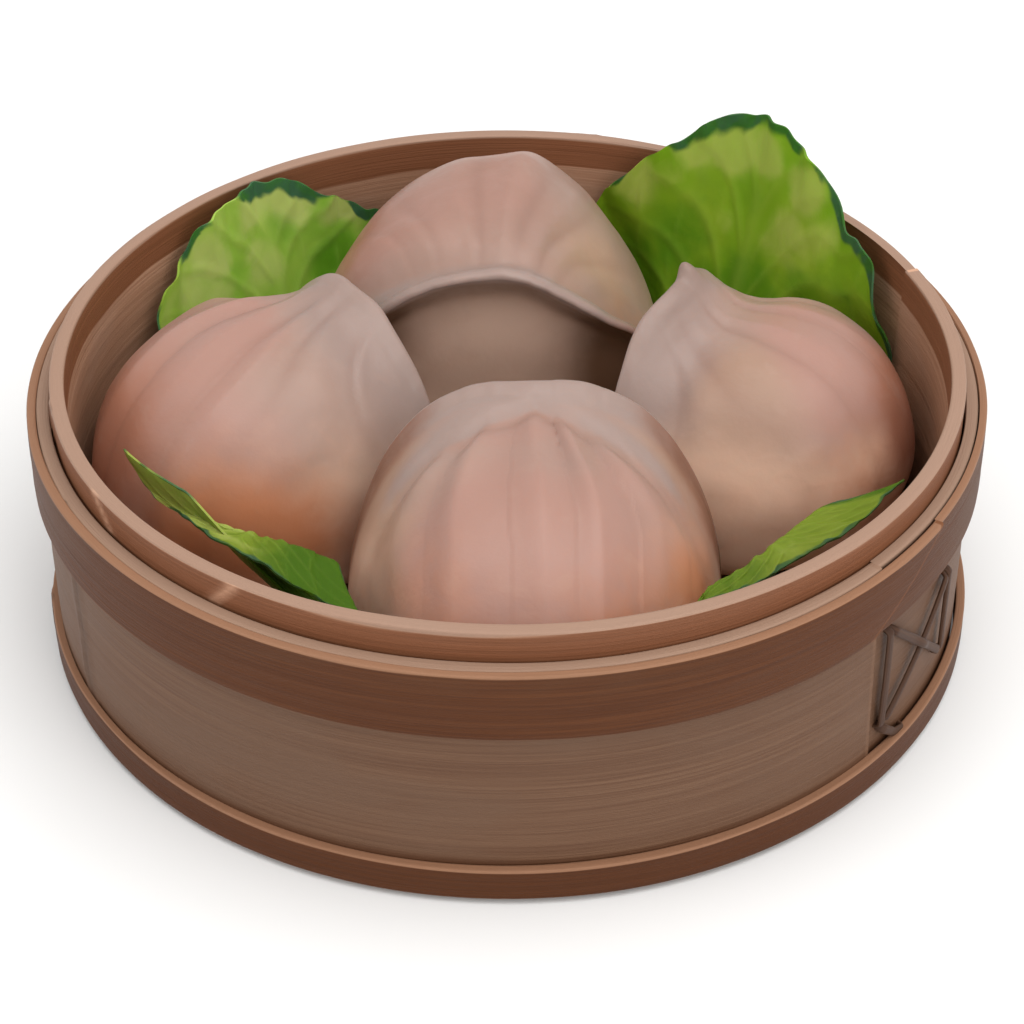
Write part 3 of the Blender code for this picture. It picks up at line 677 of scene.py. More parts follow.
# low is (from, to in mm, how much) of the painted light on the lower belly; shade is painted shade over the whole
# dumpling
DUMPLINGS = {
    "dumpling_front": dict(centre=(3.7, -12.8), out=-90, half=(25.2, 25.2), depth=43.5, high=33.2,
                           ends=((3, 2.4, 0.5), (3, 2.4, 0.5)), dome=((3, 2.4, 0.5), (3, 2.4, 0.5)),
                           dome_high=33.2, sweep=(6, 6), plan=2.6, seed=1,
                           pleats=6.0, fold=1.0, lean=0.04, dip=(1.1, 0.115, 0.055), tent=2.5, low=(5, 22, 0.65)),
    "dumpling_back": dict(centre=(-1.0, 13.6), out=90, half=(28, 23.5), depth=44.0, high=33.8,
                          ends=((11, 1.8, 0.85), (21, 1.3, 1.3)), dome=((12, 2.5, 0.58), (11, 1.15, 0.80)),
                          dome_high=35.9, lift=2.6, nose=5, sweep=(7, 3), plan=2.6, seed=2,
                          pleats=6.0, fold=0.36, lean=-0.05, dip=(1.35, 0.105, 0.05), tuck=1.9, round=0.12,
                          shade=0.05),
    "dumpling_left": dict(centre=(-23.7, 13.4), out=-134.5, half=(23.9, 25), depth=39.5, high=33.0,
                          ends=((6, 2.0, 0.5), (6, 1.25, 0.9)), dome=((6, 2.2, 0.5), (8, 2.2, 0.5)),
                          dome_high=32.5, sweep=(3, 3), plan=2.4, seed=3,
                          pleats=5.2, fold=0.86, lean=0.14,
                          dip=(0.22, 0.15, 0.08), low=(5, 22, 0.65)),
    "dumpling_right": dict(centre=(25.2, 14.6), out=-38, half=(24.6, 23.5), depth=34.2, high=33.3,
                           ends=((6, 1.25, 0.9), (6, 2.2, 0.5)), dome=((8, 2.2, 0.5), (6, 2.2, 0.5)),
                           dome_high=29.9, peak=(1.4, 0.02, 0.050, -0.4), sweep=(3, 3), plan=2.4, seed=4,
                           pleats=5.2, fold=0.44, lean=0.08, dip=(0.65, 0.19, 0.10),
                           low=(12, 26, 1.0)),
}
FAN = 0.45


def closed_spline(points, n):
    p = np.asarray(points, float)
    m = len(p)
    t = np.linspace(0, m, n, endpoint=False)
    i = np.floor(t).astype(int)
    f = (t - i)[:, None]
    a, b, c, d = p[(i - 1) % m], p[i % m], p[(i + 1) % m], p[(i + 2) % m]
    return 0.5 * (2 * b + (c - a) * f + (2 * a - 5 * b + 4 * c - d) * f ** 2
                  + (3 * b - a - 3 * c + d) * f ** 3)


def arch(s, m, n, e=0.04):
    a = (np.sqrt(s * s + e * e) - e) / (math.sqrt(1 + e * e) - e)
    return np.maximum(1 - np.minimum(a, 1.0) ** m, 0.0) ** n


def dumpling_grid(d, rows, around):
    """Points of one dumpling, (rows, around, 3), and what its marks need."""
    th = math.radians(d["out"])
    o = (math.cos(th), math.sin(th))
    sec = closed_spline(SECTION, around)
    y0, z0, w0 = sec[:, 0][None], sec[:, 1][None], np.clip(sec[:, 2], 0, 1)[None]
    tang = np.roll(sec[:, :2], -1, 0) - np.roll(sec[:, :2], 1, 0)
    tang /= np.linalg.norm(tang, axis=1)[:, None]
    ny, nz = -tang[:, 1][None], tang[:, 0][None]
    ang = math.pi * (np.arange(1, rows + 1) / (rows + 1) - 0.5)
    s, c = np.sin(ang)[:, None], np.cos(ang)[:, None]
    side = smooth(s, -0.35, 0.35)

    def line(spec, top, e=0.04):
        a, b = spec
        return ((a[0] + (top - a[0]) * arch(s, a[1], a[2], e)) * (1 - side)
                + (b[0] + (top - b[0]) * arch(s, b[1], b[2], e)) * side)

    crest = line(d["ends"], d["high"], d.get("round", 0.04))
    dome = line(d["dome"], d["dome_high"])
    height = crest * (1 - w0) + dome * w0
    end = d["ends"][0][0] * (1 - side) + d["ends"][1][0] * side
    base = 0.7 * np.minimum(end, dome) * (1 - c) ** 2.5
    depth = np.maximum(d["depth"] * np.sqrt(np.maximum(1 - np.abs(s) ** d["plan"], 0)), 1.0)
    y = np.where(s < 0, d["sweep"][0], d["sweep"][1]) * np.abs(s) ** 3 + depth * y0
    z = base + (height - base) * z0 + d.get("lift", 0) * w0 * smooth(y0, 0.1, 0.7) * c
    x = ((d["half"][0] * (1 - side) + d["half"][1] * side) * s
         + d.get("nose", 0) * np.clip(y0, 0, 1) ** 1.5 * c)
    if "peak" in d:
        tall, where, wide, back = d["peak"]
        p = tall * bell(s, where, wide) * smooth(z0, 0.90, 1.0) * (1 - smooth(y0, 0.03, 0.1))
        z, y = z + p, y + back * p
    # pleats: gathered at the crest, spreading over the dome, each a little
    # different in width and depth
    seed = d["seed"]
    spread = FAN + (1 - FAN) * smooth(y0, 0.05, 0.65)
    q0 = s / spread
    q = q0 + 0.05 * np.sin(4.1 * q0 + 2.1 * seed) + 0.025 * np.sin(9.7 * q0 + seed)
    q = q + d["lean"] * smooth(y0, 0.0, 0.8)
    t = q * d["pleats"] / 2.0 + 0.37 * seed
    f = t - np.floor(t)
    near = 1 - smooth(y0, 0.05, 0.5)                      # 1 close to the crest
    turn = 0.56 + 0.10 * near                             # the fold is sharper there
    saw = np.where(f < turn, smooth(f, 0, 1) / smooth(turn, 0, 1), 1 - smooth((f - turn) / (1 - turn), 0, 1)) - 0.5
    which = np.floor(t).astype(int)
    vary = 1.0 + 0.45 * lattice(which, 0 * which, 0 * which, seed)
    middle = 1 - smooth(np.abs(q0), 0.78, 1.2)
    rise = smooth(z0, 0.0, 0.15)
    fade = w0 * c * (1 - 0.62 * smooth(y0, 0.3, 1.0)) * rise * middle
    if "tent" in d:
        start = d["dip"][1] * (1 + d["tent"] * np.abs(s))
        beyond = smooth(y0 * depth / d["depth"], 0.75 * start, 1.25 * start)
        fade, near = fade * (0.06 + 0.94 * beyond), near * (0.10 + 0.90 * beyond)
    h = d["fold"] * vary * saw * fade
    # gathers between the folds, only close under the crest
    t2 = 2.3 * t + 0.3 * seed
    h = h + 0.05 * (np.abs(2 * (t2 - np.floor(t2)) - 1) - 0.5) * near * w0 * middle * c
    # the crest is thin, a little wavy, and dips into a soft valley behind
    lip = smooth(z0, 0.93, 0.99) * (1 - smooth(y0, 0.045, 0.10)) * np.sqrt(c)
    y = y + lip * (0.30 * np.sin(6.3 * s + 1.7 * seed) + 0.14 * np.sin(14.1 * s + seed) + 0.06 * saw)
    z = z + lip * (0.15 * np.sin(7.1 * s + 3 * seed) + 0.08 * saw * vary + 0.04 * np.sin(23 * s + seed))
    # at the sides the valley keeps its distance in millimetres from the crest
    deep, at, wide = d["dip"]
    off = y0 * depth / d["depth"]
    at_s = at * (1 + d.get("tent", 0.3) * np.abs(s) ** (1 if "tent" in d else 2))
    hollow = (y0 < 0.08) * (z0 < 0.97) * (w0 < 0.03)
    valley = (bell(off, at_s, wide) * (z0 > 0.6) * smooth(y0, 0.02, 0.06) * c ** 0.3
              * (1 - hollow * (1 - smooth(z0, 0.80, 0.97))))
    h = h - deep * valley
    h = h + 0.45 * deep * bell(off, at_s + 0.13, 0.07) * (z0 > 0.4) * w0 * smooth(np.abs(s), 0.15, 0.6) * c ** 0.3
    band = (1 - smooth(off, 0.80 * at_s, 1.05 * at_s)) * smooth(z0, 0.45, 0.65) * (y0 > 0)
    inner = hollow * smooth(z0, 0.03, 0.25)
    y = y + d.get("tuck", 0.8) * bell(z0, 0.79, 0.15) * inner * np.sqrt(c)
    y, z = y + h * ny, z + h * nz
    z = np.maximum(z, np.where(base > 0.05, base, 0.0))
    pts = np.stack([d["centre"][0] + x * o[1] + y * o[0],
                    d["centre"][1] - x * o[0] + y * o[1],
                    FOOD_Z + z], -1)
    soft = 1.9 if "tent" in d else 1.0
    # the crease mark: painted shade in the pleat grooves and along the valley behind the crest
    groove = np.maximum(bell(f, 1.0, 0.15 * soft), bell(f, 0.0, 0.13 * soft)) * fade
    info = dict(s=s + 0 * y0, y0=y0 + 0 * s, z0=z0 + 0 * s, w0=w0 + 0 * s, c=c + 0 * y0,
                groove=np.clip(groove * (0.6 if "tent" in d else 1.0) + 0.40 * valley, 0, 1),
                flange=lip + 0 * s, f=f, inner=inner + 0 * s, band=band + 0 * s, off=off / at_s)
    return pts, info


def normals(g):
    """Unit normals of a grid that is closed in its second direction."""
    du = np.gradient(g, axis=0)
    dv = np.roll(g, -1, 1) - np.roll(g, 1, 1)
    n = np.cross(du, dv)
    n /= np.maximum(np.linalg.norm(n, axis=2), 1e-9)[..., None]
    mid = g.mean((0, 1))
    return n if ((g - mid) * n).sum() > 0 else -n


# Colour patches: (kind, (x, y, z) in mm, reach in mm, how much).  pink, orange and tan are the filling showing
# through; pale is paler dough and painted highlights; low is painted light, a lighter colour on shaded dough; brown,
# dark, crest and tip are painted shade, crest and tip on the edge of the lip; in_ kinds go on the hollow side only,
# band_ kinds on the sealed band only.
PATCHES = {
    "dumpling_front": [("pink", (3, -37, 41), 13, 0.75), ("pink", (1, -49, 36), 12, 0.85),
                       ("pink", (-8, -42, 38), 8, 0.6), ("orange", (-11, -44, 34), 8, 0.30),
                       ("tan", (-16, -38, 32), 9, 1.0), ("tan", (-17, -33, 26), 9, 0.7),
                       ("orange", (22, -41, 29), 8, 0.60), ("orange", (11, -51, 31), 8, 0.30),
                       ("low", (24, -38, 28), 9, 0.9), ("low", (-18, -33, 26), 9, 0.55),
                       ("orange", (25, -35, 27), 9, 0.7), ("pale", (8, -28, 42), 7, 0.35),
                       ("orange", (13, -52, 30), 9, 0.45), ("orange", (-7, -51, 30), 8, 0.4),
                       ("brown", (26, -25, 26), 6, 0.4), ("band_pale", (0, -14, 42), 14, 0.9)],
    "dumpling_back": [("pink", (-4, 32, 45), 13, 0.9), ("pink", (-20, 30, 40), 9, 1.0),
                      ("tan", (14, 25, 38), 10, 1.0), ("pale", (-3, 21, 42), 7, 0.25),
                      ("pale", (13, 21, 37), 6, 0.55), ("low", (14, 28, 37), 9, 0.30),
                      ("orange", (20, 23, 33), 6, 0.45), ("brown", (-23, 31, 39), 9, 0.85),
                      ("brown", (0, 44, 46), 10, 0.6), ("crest", (17, 14, 30), 7, 0.6),
                      ("dark", (-6, 30, 44), 16, 0.20), ("dark", (-22, 28, 38), 8, 0.15),
                      ("in_dark", (20, 15, 27), 10, 1.6), ("in_dark", (-20, 15, 31), 7, 1.0),
                      ("in_pale", (-7, 15, 37), 6, 0.35), ("in_low", (-4, 15, 30), 9, 0.35)],
    "dumpling_left": [("pale", (-22, 9, 41), 9, 0.9), ("pale", (-15, 2, 36), 11, 0.95),
                      ("pink", (-45, 4, 40), 12, 1.1), ("pink", (-40, 2, 40), 9, 0.9),
                      ("pink", (-46, -11, 36), 10, 0.7), ("brown", (-50, -5, 36), 10, 0.45),
                      ("orange", (-36, -21, 24), 10, 0.8), ("orange", (-26, -20, 20), 9.5, 0.95),
                      ("orange", (-43, -20, 25), 9, 0.6), ("brown", (-54, -10, 29), 9, 1.0),
                      ("brown", (-56, 2, 28), 9, 1.0), ("low", (-20, -15, 29), 8, 0.35),
                      ("low", (-26, -19, 22), 9, 0.45), ("tip", (-25, 10, 43), 7, 0.2)],
    "dumpling_right": [("pale", (22, 6, 38), 7, 0.95), ("pale", (25, 12, 42), 6, 0.5),
                       ("pale", (19, -1, 33), 7, 0.8), ("tan", (34, -5, 38), 10, 1.0),
                       ("tan", (36, -12, 31), 10, 1.0), ("pink", (47, 3, 38), 9, 1.0),
                       ("pink", (41, 7, 40), 8, 0.8), ("pink", (44, -8, 33), 8, 0.5),
                       ("brown", (56, 0, 27), 9, 1.1), ("brown", (57, 8, 31), 8, 0.9),
                       ("orange", (48, -10, 23), 9, 0.65), ("orange", (29, -14, 22), 8, 0.3),
                       ("low", (54, -5, 22), 8, 0.7), ("low", (25, -13, 22), 7, 0.55), ("tip", (24, 14, 45), 7, 0.35),
                       ("tip", (20, 4, 38), 6, 0.12)],
}
SKINS = {}


def dumpling(name, rows=232, around=194):
    d = DUMPLINGS[name]
    g, i = dumpling_grid(d, rows, around)
    n = normals(g)
    body = smooth(i["z0"], 0.02, 0.2) * np.sqrt(np.clip(i["c"], 0, 1)) * (1 - 0.6 * i["flange"])
    lumps = (0.55 * noise(g, 19.0, 40 + d["seed"]) + 0.28 * noise(g, 9.0, 50 + d["seed"])
             + 0.08 * fbm(g, 4.0, 2, 60 + d["seed"]))
    g = g + n * (lumps * body)[..., None]
    g[..., 2] = np.maximum(g[..., 2], FOOD_Z)
    SKINS[name] = g
    m = rows * around
    verts = np.concatenate([g.reshape(-1, 3), [g[0].mean(0)], [g[-1].mean(0)]])
    j = np.arange(around)
    k = (j + 1) % around
    caps = np.concatenate([np.stack([0 * j + m, j, k], 1),
                           np.stack([0 * j + m + 1, (rows - 1) * around + k, (rows - 1) * around + j], 1)])
    over = smooth(i["w0"], 0.0, 0.2)
    fill = {k: np.zeros(g.shape[:2]) for k in ("pink", "orange", "tan", "pale", "brown", "low", "dark")}
    crest = smooth(i["z0"], 0.93, 0.975) * (1 - smooth(i["y0"], 0.06, 0.16))
    for kind, place, reach, power in PATCHES[name]:
        away = np.linalg.norm(g - np.array(place, float), axis=-1)
        blob = power * np.exp(-(away / reach) ** 2)
        if kind == "crest":                        # painted shade, brown on the edge of the lip
            fill["brown"] += blob * crest
        elif kind == "tip":                        # painted shade, deep brown on the edge of the lip
            fill["dark"] += blob * crest
        elif kind.startswith("in_"):               # on the hollow side only
            fill[kind[3:]] += blob * i["inner"]
        elif kind.startswith("band_"):             # on the sealed band only
            fill[kind[5:]] += blob * i["band"]
        else:
            fill[kind] += blob * over
    # all round: pink and tan clouds, warmer tan towards the base, and painted shade in brown close to the base
    up = g[..., 2] - FOOD_Z
    fill["pink"] += 0.45 * smooth(noise(g, 17.0, 80 + d["seed"]), -0.2, 0.6) * over
    fill["tan"] += 0.55 * (1 - smooth(up, 2, 16)) * over
    fill["brown"] += (0.30 * (1 - smooth(up, 0, 5))
                      + 0.25 * smooth(noise(g, 12.0, 90 + d["seed"]), 0.2, 0.9) * (1 - smooth(up, 6, 18)))
    # painted light: a lighter colour over the lower belly, from lo to hi mm up
    lo, hi, much = d.get("low", (5, 21, 1.0))
    fill["low"] += much * (1 - smooth(up, lo, hi)) * over
    fill["dark"] += d.get("shade", 0) * over
    if "tent" in d:                                # the sealed band: painted shade in brown and deep brown near the crest at its ends, tan at its ends, and a painted highlight along the fold
        ends = smooth(np.abs(i["s"]), 0.35, 0.75)
        near = (1 - smooth(i["off"], 0.12, 0.60)) * ends * i["band"]
        fill["brown"], fill["dark"] = fill["brown"] + 0.75 * near, fill["dark"] + 0.55 * near
        fill["tan"] += 0.8 * ends * i["band"]
        fill["pale"] += (0.8 * bell(i["off"], 0.78, 0.22) * i["band"]
                         * smooth(np.abs(i["s"]), 0.15, 0.4) * (1 - smooth(np.abs(i["s"]), 0.66, 0.86)))
    # painted light over the shaded hollow side
    hollow = i["inner"] * (1 - smooth(i["z0"], 0.84, 0.97))
    # painted shade on the hollow side: under the lip, low down and at the ends
    fill["dark"] += (0.48 * smooth(i["z0"], 0.76, 0.90) * (1 - smooth(i["z0"], 0.935, 0.97))
                     + 0.10 * (1 - smooth(i["z0"], 0.40, 0.80))
                     + 0.30 * smooth(np.abs(i["s"]), 0.6, 0.95)) * i["inner"]
    fill["tan"] += 0.9 * hollow * (1 - smooth(up, 10, 24))
    a = np.clip(np.stack([fill["pink"], fill["orange"], fill["tan"]], -1), 0, 1.2)
    b = np.stack([np.clip(np.maximum(crest, fill["pale"]), 0, 1), i["groove"], np.clip(hollow, 0, 1)], -1)
    ext = lambda v: np.concatenate([v.reshape(-1, 3), v[0].mean(0)[None], v[-1].mean(0)[None]])
    e = np.clip(np.stack([fill["brown"], fill["low"], fill["dark"]], -1), 0, 1.2)
    ob = make(name.replace("dumpling", "har_gow"), verts, [grid_faces(rows, around, wrap_cols=True), caps],
              DOUGH, {"fill_a": ext(a), "fill_b": ext(b), "fill_c": ext(e)}, sharp=60)
    return finish_piece(ob, [name])


for name in DUMPLINGS:
    dumpling(name)

# ----------------------------------------------------------------- leaves
LEAVES = {
    # margin: how wide the dark edge is in mm at these azimuths; spots: (tone,
    # azimuth, height, reach in mm, how much)
    "leaf_back_right": dict(az=(19, 78), top=(27, 52.4), full=0.85, tilt=-0.6, reach=(56.3, 56.3), start=16,
                            turn=46, lobes=((30.5, 3.2, 3.0), (66, 2.6, 8.0)), seed=1, mat=LEAF_DARK,
                            margin=((19, 1.2), (25, 2.6), (29, 2.6), (34, 1.2), (40, 0.9), (46, 3.0),
                                    (54, 3.6), (61, 2.8), (70, 1.8), (78, 1.0)),
                            spots=(("pale", 60, 44, 4, 0.9), ("pale", 54, 46, 6, 1.0), ("pale", 48, 47, 5, 0.9),
                                   ("pale", 38, 45, 5, 1.0), ("deep", 50, 40.5, 5, 0.45), ("pale", 69, 36, 6, 0.7),
                                   ("pale", 40, 35, 7, 0.75), ("pale", 34, 38, 5, 0.6), ("pale", 53, 35, 3, 0.5),
                                   ("pale", 54, 29, 3, 0.5), ("deep", 57, 38, 5, 0.45), ("deep", 61, 30, 8, 0.75),
                                   ("deep", 67, 23, 8, 0.75), ("deep", 31, 31, 8, 0.5), ("deep", 47, 26, 9, 0.75),
                                   ("deep", 37, 27, 9, 0.65), ("deep", 25, 37, 5, 0.45), ("deep", 56, 22, 9, 0.7))),
    "leaf_back_left": dict(az=(107, 156), top=(26, 42.0), full=0.75, tilt=0, reach=(56.3, 56.3), start=16,
                           turn=46, lobes=((149, 2.5, 4.0), (118, 3.2, 8.0)), seed=2, mat=LEAF_PALE,
                           margin=((107, 2.0), (113, 1.4), (118, 1.2), (122, 3.4), (127, 2.0), (132, 2.6), (137, 0.6),
                                   (141, 0.5), (145, 2.0), (148, 0.4), (151, 0.3), (154, 1.4), (156, 1.6)),
                           spots=(("pale", 132, 38, 5, 0.9), ("pale", 126, 37, 5, 0.9), ("pale", 117, 33, 5, 0.9),
                                  ("pale", 142, 35, 5, 0.8), ("pale", 145, 29, 6, 0.7), ("pale", 133, 29, 6, 0.6),
                                  ("deep", 128, 33, 4, 0.45), ("deep", 120, 25, 6, 0.9),
                                  ("deep", 138, 31, 3, 0.35))),
    # the front leaves end in a lip that lies nearly flat, this wide in mm, and
    # fans out sideways from a narrower stalk (its share on the two sides), which
    # may come up a little to one side
    "leaf_front_left": dict(az=(-161, -110.6), top=(31.2, 32.2), full=0.6, tilt=0, reach=(52.9, 50.8), sag=2.9,
                            horn=(4.6, 0), start=17, lobes=((-153, 0.8, 4.0),), seed=3, mat=LEAF_LOW,
                            lip=((-1, 4.2), (-0.5, 3.5), (0, 4.2), (0.25, 5.2), (0.5, 6.8), (1, 9.5)),
                            stalk=(0.42, 0.58), aside=0.62, crown=0.9),
    "leaf_front_right": dict(az=(-71, -20), top=(31.6, 32.2), full=0.6, tilt=0, reach=(51.7, 55.5), sag=1.7,
                             horn=(0, 0.2), start=17, lobes=(), seed=4, mat=LEAF_LOW,
                             lip=((-1, 2.2), (-0.5, 2.8), (0, 4.0), (0.3, 5.0), (0.57, 6.2), (0.76, 6.6), (1, 7.6)),
                             stalk=(0.72, 0.55), crown=1.6),
}
LEAF_CLEAR = LEAF_SOLID / 2 + 0.45


class Bellies:
    """Largest radius that the dumplings reach at each azimuth and height."""

    def __init__(self):
        pts = np.concatenate([g.reshape(-1, 3) for g in SKINS.values()])
        r = np.hypot(pts[:, 0], pts[:, 1])
        a = np.degrees(np.arctan2(pts[:, 1], pts[:, 0])) % 360
        ia = np.clip(a, 0, 359.999).astype(int)
        iz = np.clip(pts[:, 2].astype(int), 0, 59)
        table = np.zeros((360, 60))
        np.maximum.at(table, (ia, iz), r)
        grown = table.copy()
        for da in range(-3, 4):
            for dz in (-2, -1, 0, 1, 2):
                shifted = np.roll(table, da, 0)
                moved = np.zeros_like(table)
                if dz < 0:
                    moved[:, :dz] = shifted[:, -dz:]
                elif dz > 0:
                    moved[:, dz:] = shifted[:, :-dz]
                else:
                    moved = shifted
                grown = np.maximum(grown, moved)
        # where nothing stands the table falls off smoothly
        for _ in range(3):
            soft = (np.roll(grown, 1, 0) + 2 * grown + np.roll(grown, -1, 0)) / 4
            grown = np.maximum(grown, soft)
        self.table = grown

    def reach(self, az, z):
        a, h = (np.degrees(az) - 0.5) % 360, np.clip(np.asarray(z, float) - 0.5, 0, 58)
        ia, iz = np.floor(a).astype(int), np.floor(h).astype(int)
        fa, fz = a - ia, h - iz
        ia, ib = ia % 360, (ia + 1) % 360
        return ((self.table[ia, iz] * (1 - fa) + self.table[ib, iz] * fa) * (1 - fz)
                + (self.table[ia, iz + 1] * (1 - fa) + self.table[ib, iz + 1] * fa) * fz)


BELLIES = Bellies()


def leaf_surface(d, cols, rows):
    """Middle surface (rows, cols, 3) from base to ruffled rim, as (radius,
    azimuth, height); u runs across from -1 to 1, v along from 0 to 1."""
    a0, a1 = (math.radians(a) for a in d["az"])
    mid, half = (a0 + a1) / 2, (a1 - a0) / 2
    limit = R_RING_IN - GAP - LEAF_SOLID / 2 - 0.2
    steps = 120
    v = np.linspace(0, 1, steps + 1)
    g = np.zeros((rows, cols, 3))
    frill = 0.35 if "lip" in d else 1.0
    for i in range(cols):
        u = -1 + 2 * i / (cols - 1)
        top = d["top"][0] + (d["top"][1] - d["top"][0]) * max(1 - abs(u) ** 2.2, 0.0) ** d["full"]
        top += d["tilt"] * u + frill * 0.35 * math.sin(7 * u + 2 * d["seed"])
        top += d.get("horn", (0, 0))[0 if u < 0 else 1] * abs(u) ** 7
        far = d["reach"][0] + (d["reach"][1] - d["reach"][0]) * (u + 1) / 2 - d.get("sag", 0) * (1 - u * u)
        for where, deep, wide in d["lobes"]:
            top -= deep * math.exp(-((math.degrees(mid + u * half) - where) / wide) ** 2)
        # slightly frilled outline
        top += frill * (0.28 * math.sin(19 * u + 3 * d["seed"]) + 0.16 * math.sin(37 * u + d["seed"]))
        if "lip" in d:
            # along the floor, steeply up between dumpling and wall, then over
            # into the lip; the stalk is narrow and only the lip is full width
            knots = np.array(d["lip"], float)
            lip = np.interp(u + np.array([-0.08, 0, 0.08]), knots[:, 0], knots[:, 1]).mean()
            flat, up, over = (np.clip((v - a) / b, 0, 1) for a, b in ((0, 0.35), (0.35, 0.35), (0.70, 0.30)))
            bend_r, bend_z = far - lip, top + (d["crown"] - 1.2) * min(lip / 6, 1)
            r = (d["start"] + (bend_r - 9 - d["start"]) * flat + 9 * up ** 0.9 + lip * over)
            z = FLOOR_Z + (bend_z - FLOOR_Z) * up ** 1.1 + (top - bend_z) * over
            stalk = d["stalk"][0] + (d["stalk"][1] - d["stalk"][0]) * float(smooth(u, -0.35, 0.35))
            az = mid + half * (u * (0.15 + (stalk - 0.15) * up ** 12 + (1 - stalk) * over)
                               + d.get("aside", 0) * (1 - smooth(up, 0.55, 1.0)))
        else:
            az = mid + u * half * (0.45 + 0.55 * smooth(v, 0.0, 0.8))
            t = np.clip((v - 0.4) / 0.6, 0, 1)
            z = FLOOR_Z + (top - FLOOR_Z) * t ** 1.25
            r = np.where(v < 0.4, d["start"] + (d["turn"] - d["start"]) * v / 0.4,
                         d["turn"] + (far - d["turn"]) * (1 - (1 - t) ** 1.6))
        above = z > FLOOR_Z + 0.3
        r = np.where(above, np.maximum(r, BELLIES.reach(az, z) + LEAF_CLEAR + 0.3), r)
        r = np.minimum(r, limit)
        first = int(np.argmax(above))
        r[:first] = d["start"] + (r[first] - d["start"]) * np.linspace(0, 1, first, endpoint=False)
        for _ in range(12 if "lip" in d else 24):
            r[1:-1] = 0.25 * r[:-2] + 0.5 * r[1:-1] + 0.25 * r[2:]
        if "lip" in d:
            for _ in range(12):
                z[first + 1:-1] = 0.25 * z[first:-2] + 0.5 * z[first + 1:-1] + 0.25 * z[first + 2:]
        w = np.linspace(0, steps, rows)
        az, r, z = (np.interp(w, np.arange(steps + 1), q) for q in (az, r, z))
        above = z > FLOOR_Z + 0.25
        hold = BELLIES.reach(az, z) + LEAF_CLEAR
        r = np.where(above, np.maximum(r, hold), r)
        g[:, i] = np.stack([r, az, z], 1)
    # smooth the clearance steps along and across
    for _ in range(10):
        r = g[..., 0]
        r[1:-1, 1:-1] = (4 * r[1:-1, 1:-1] + r[:-2, 1:-1] + r[2:, 1:-1] + r[1:-1, :-2] + r[1:-1, 2:]) / 8
    return g, limit


def veins(u, v, seed):
    """Closeness to the midrib and its branches in leaf coordinates."""
    bend = 0.06 * np.sin(3.0 * v + seed)
    rib = bell(u, bend, 0.035 + 0.05 * (1 - v)) * (1 - 0.5 * smooth(v, 0.7, 1.0))
    total = rib
    for k in range(7):
        v0 = 0.12 + 0.115 * k
        for hand in (-1, 1):
            w = v0 + 0.02 * math.sin(5 * k + hand + seed)
            run = np.maximum(hand * (u - bend), 0)
            path = w + 0.62 * run ** 0.85 - 0.10 * run ** 2 + 0.015 * np.sin(9 * run + k + seed)
            width = 0.011 + 0.008 * (1 - run)
            line = bell(v, path, width) * (hand * (u - bend) > 0) * (1 - 0.75 * smooth(run, 0.25, 0.95))
            total = np.maximum(total, 0.75 * line)
            # second branches
            for j in range(3):
                r0 = 0.22 + 0.24 * j
                p0 = w + 0.62 * r0 ** 0.85 - 0.10 * r0 ** 2
                side = np.maximum(v - p0, 0)
                x = r0 + 0.28 * side * (1 if (j + k) % 2 else -0.4)
                fine = bell(run, x, 0.014) * (v > p0) * (1 - smooth(side, 0.05, 0.16))
                total = np.maximum(total, 0.42 * fine * (hand * (u - bend) > 0))
    return np.clip(total, 0, 1)


def leaf_tones(d, u, v, rim, p):
    """Marks pale, deep and fresh of a leaf; rim is millimetres from its edge."""
    seed = d["seed"]
    at = np.stack([u * 24, v * 46, 0 * u + 11 * seed], -1)
    broad, lobes = fbm(at, 12.0, 2, 30 + seed), fbm(at, 6.5, 2, 50 + seed)
    if "lip" in d:
        streak = fbm(np.stack([u * 14, v * 60, 0 * u + 5 * seed], -1), 7.0, 3, 40 + seed)
        pale = 0.40 * smooth(streak, 0.05, 0.5) + 0.35 * bell(rim, 1.5, 0.7)
        if seed == 3:
            pale = pale * (1 - 0.75 * smooth(u, 0.0, 0.5)) + 0.9 * (1 - smooth(u, -0.5, 0.1))
            deep = 1.1 * smooth(u, -0.25, 0.70)
        else:
            pale = pale * smooth(u, -0.5, 0.3)
            deep = 0.8 * smooth(u, 0.70, 0.95) + 0.65 * (1 - smooth(u, -0.5, 0.25))
        # painted shade: the stalk, between dumpling and wall, is deep green
        deep = np.maximum(deep, 1 - smooth(v, 0.60, 0.70))
    else:
        near = smooth(rim, 0.8, 2.2) * (1 - smooth(rim, 6.0, 13.0))
        pale = 0.45 * smooth(0.8 * broad + 0.6 * lobes + 0.30 * near, 0.0, 0.5)
        # painted shade: deeper green towards the base, under and behind the dumplings; deeper green also in clouds
        deep = 0.75 * (1.0 - smooth(v, 0.45, 0.70)) + 0.35 * smooth(-0.9 * broad - 0.5 * lobes, 0.12, 0.5)
        # clouds at their own places, with wandering outlines
        wob = 2.4 * np.stack([fbm(at, 7.0, 3, 61 + seed), fbm(at, 7.0, 3, 67 + seed)])
        run = np.degrees(np.arctan2(p[..., 1], p[..., 0]))
        for tone, az, z, reach, power in d["spots"]:
            away = np.hypot((run - az) * math.pi / 180 * 55 + wob[0], p[..., 2] - z + wob[1])
            cloud = power * (1 - smooth(away, 0.35 * reach, 1.25 * reach))
            if tone == "pale":
                pale, deep = np.maximum(pale, cloud), deep * (1 - 0.7 * np.minimum(cloud, 1))
            else:
                deep, pale = np.maximum(deep, cloud), pale * (1 - 0.7 * np.minimum(cloud, 1))
    return np.clip(np.stack([pale, deep, 0.5 + 0.9 * broad], -1), 0, 1.1)


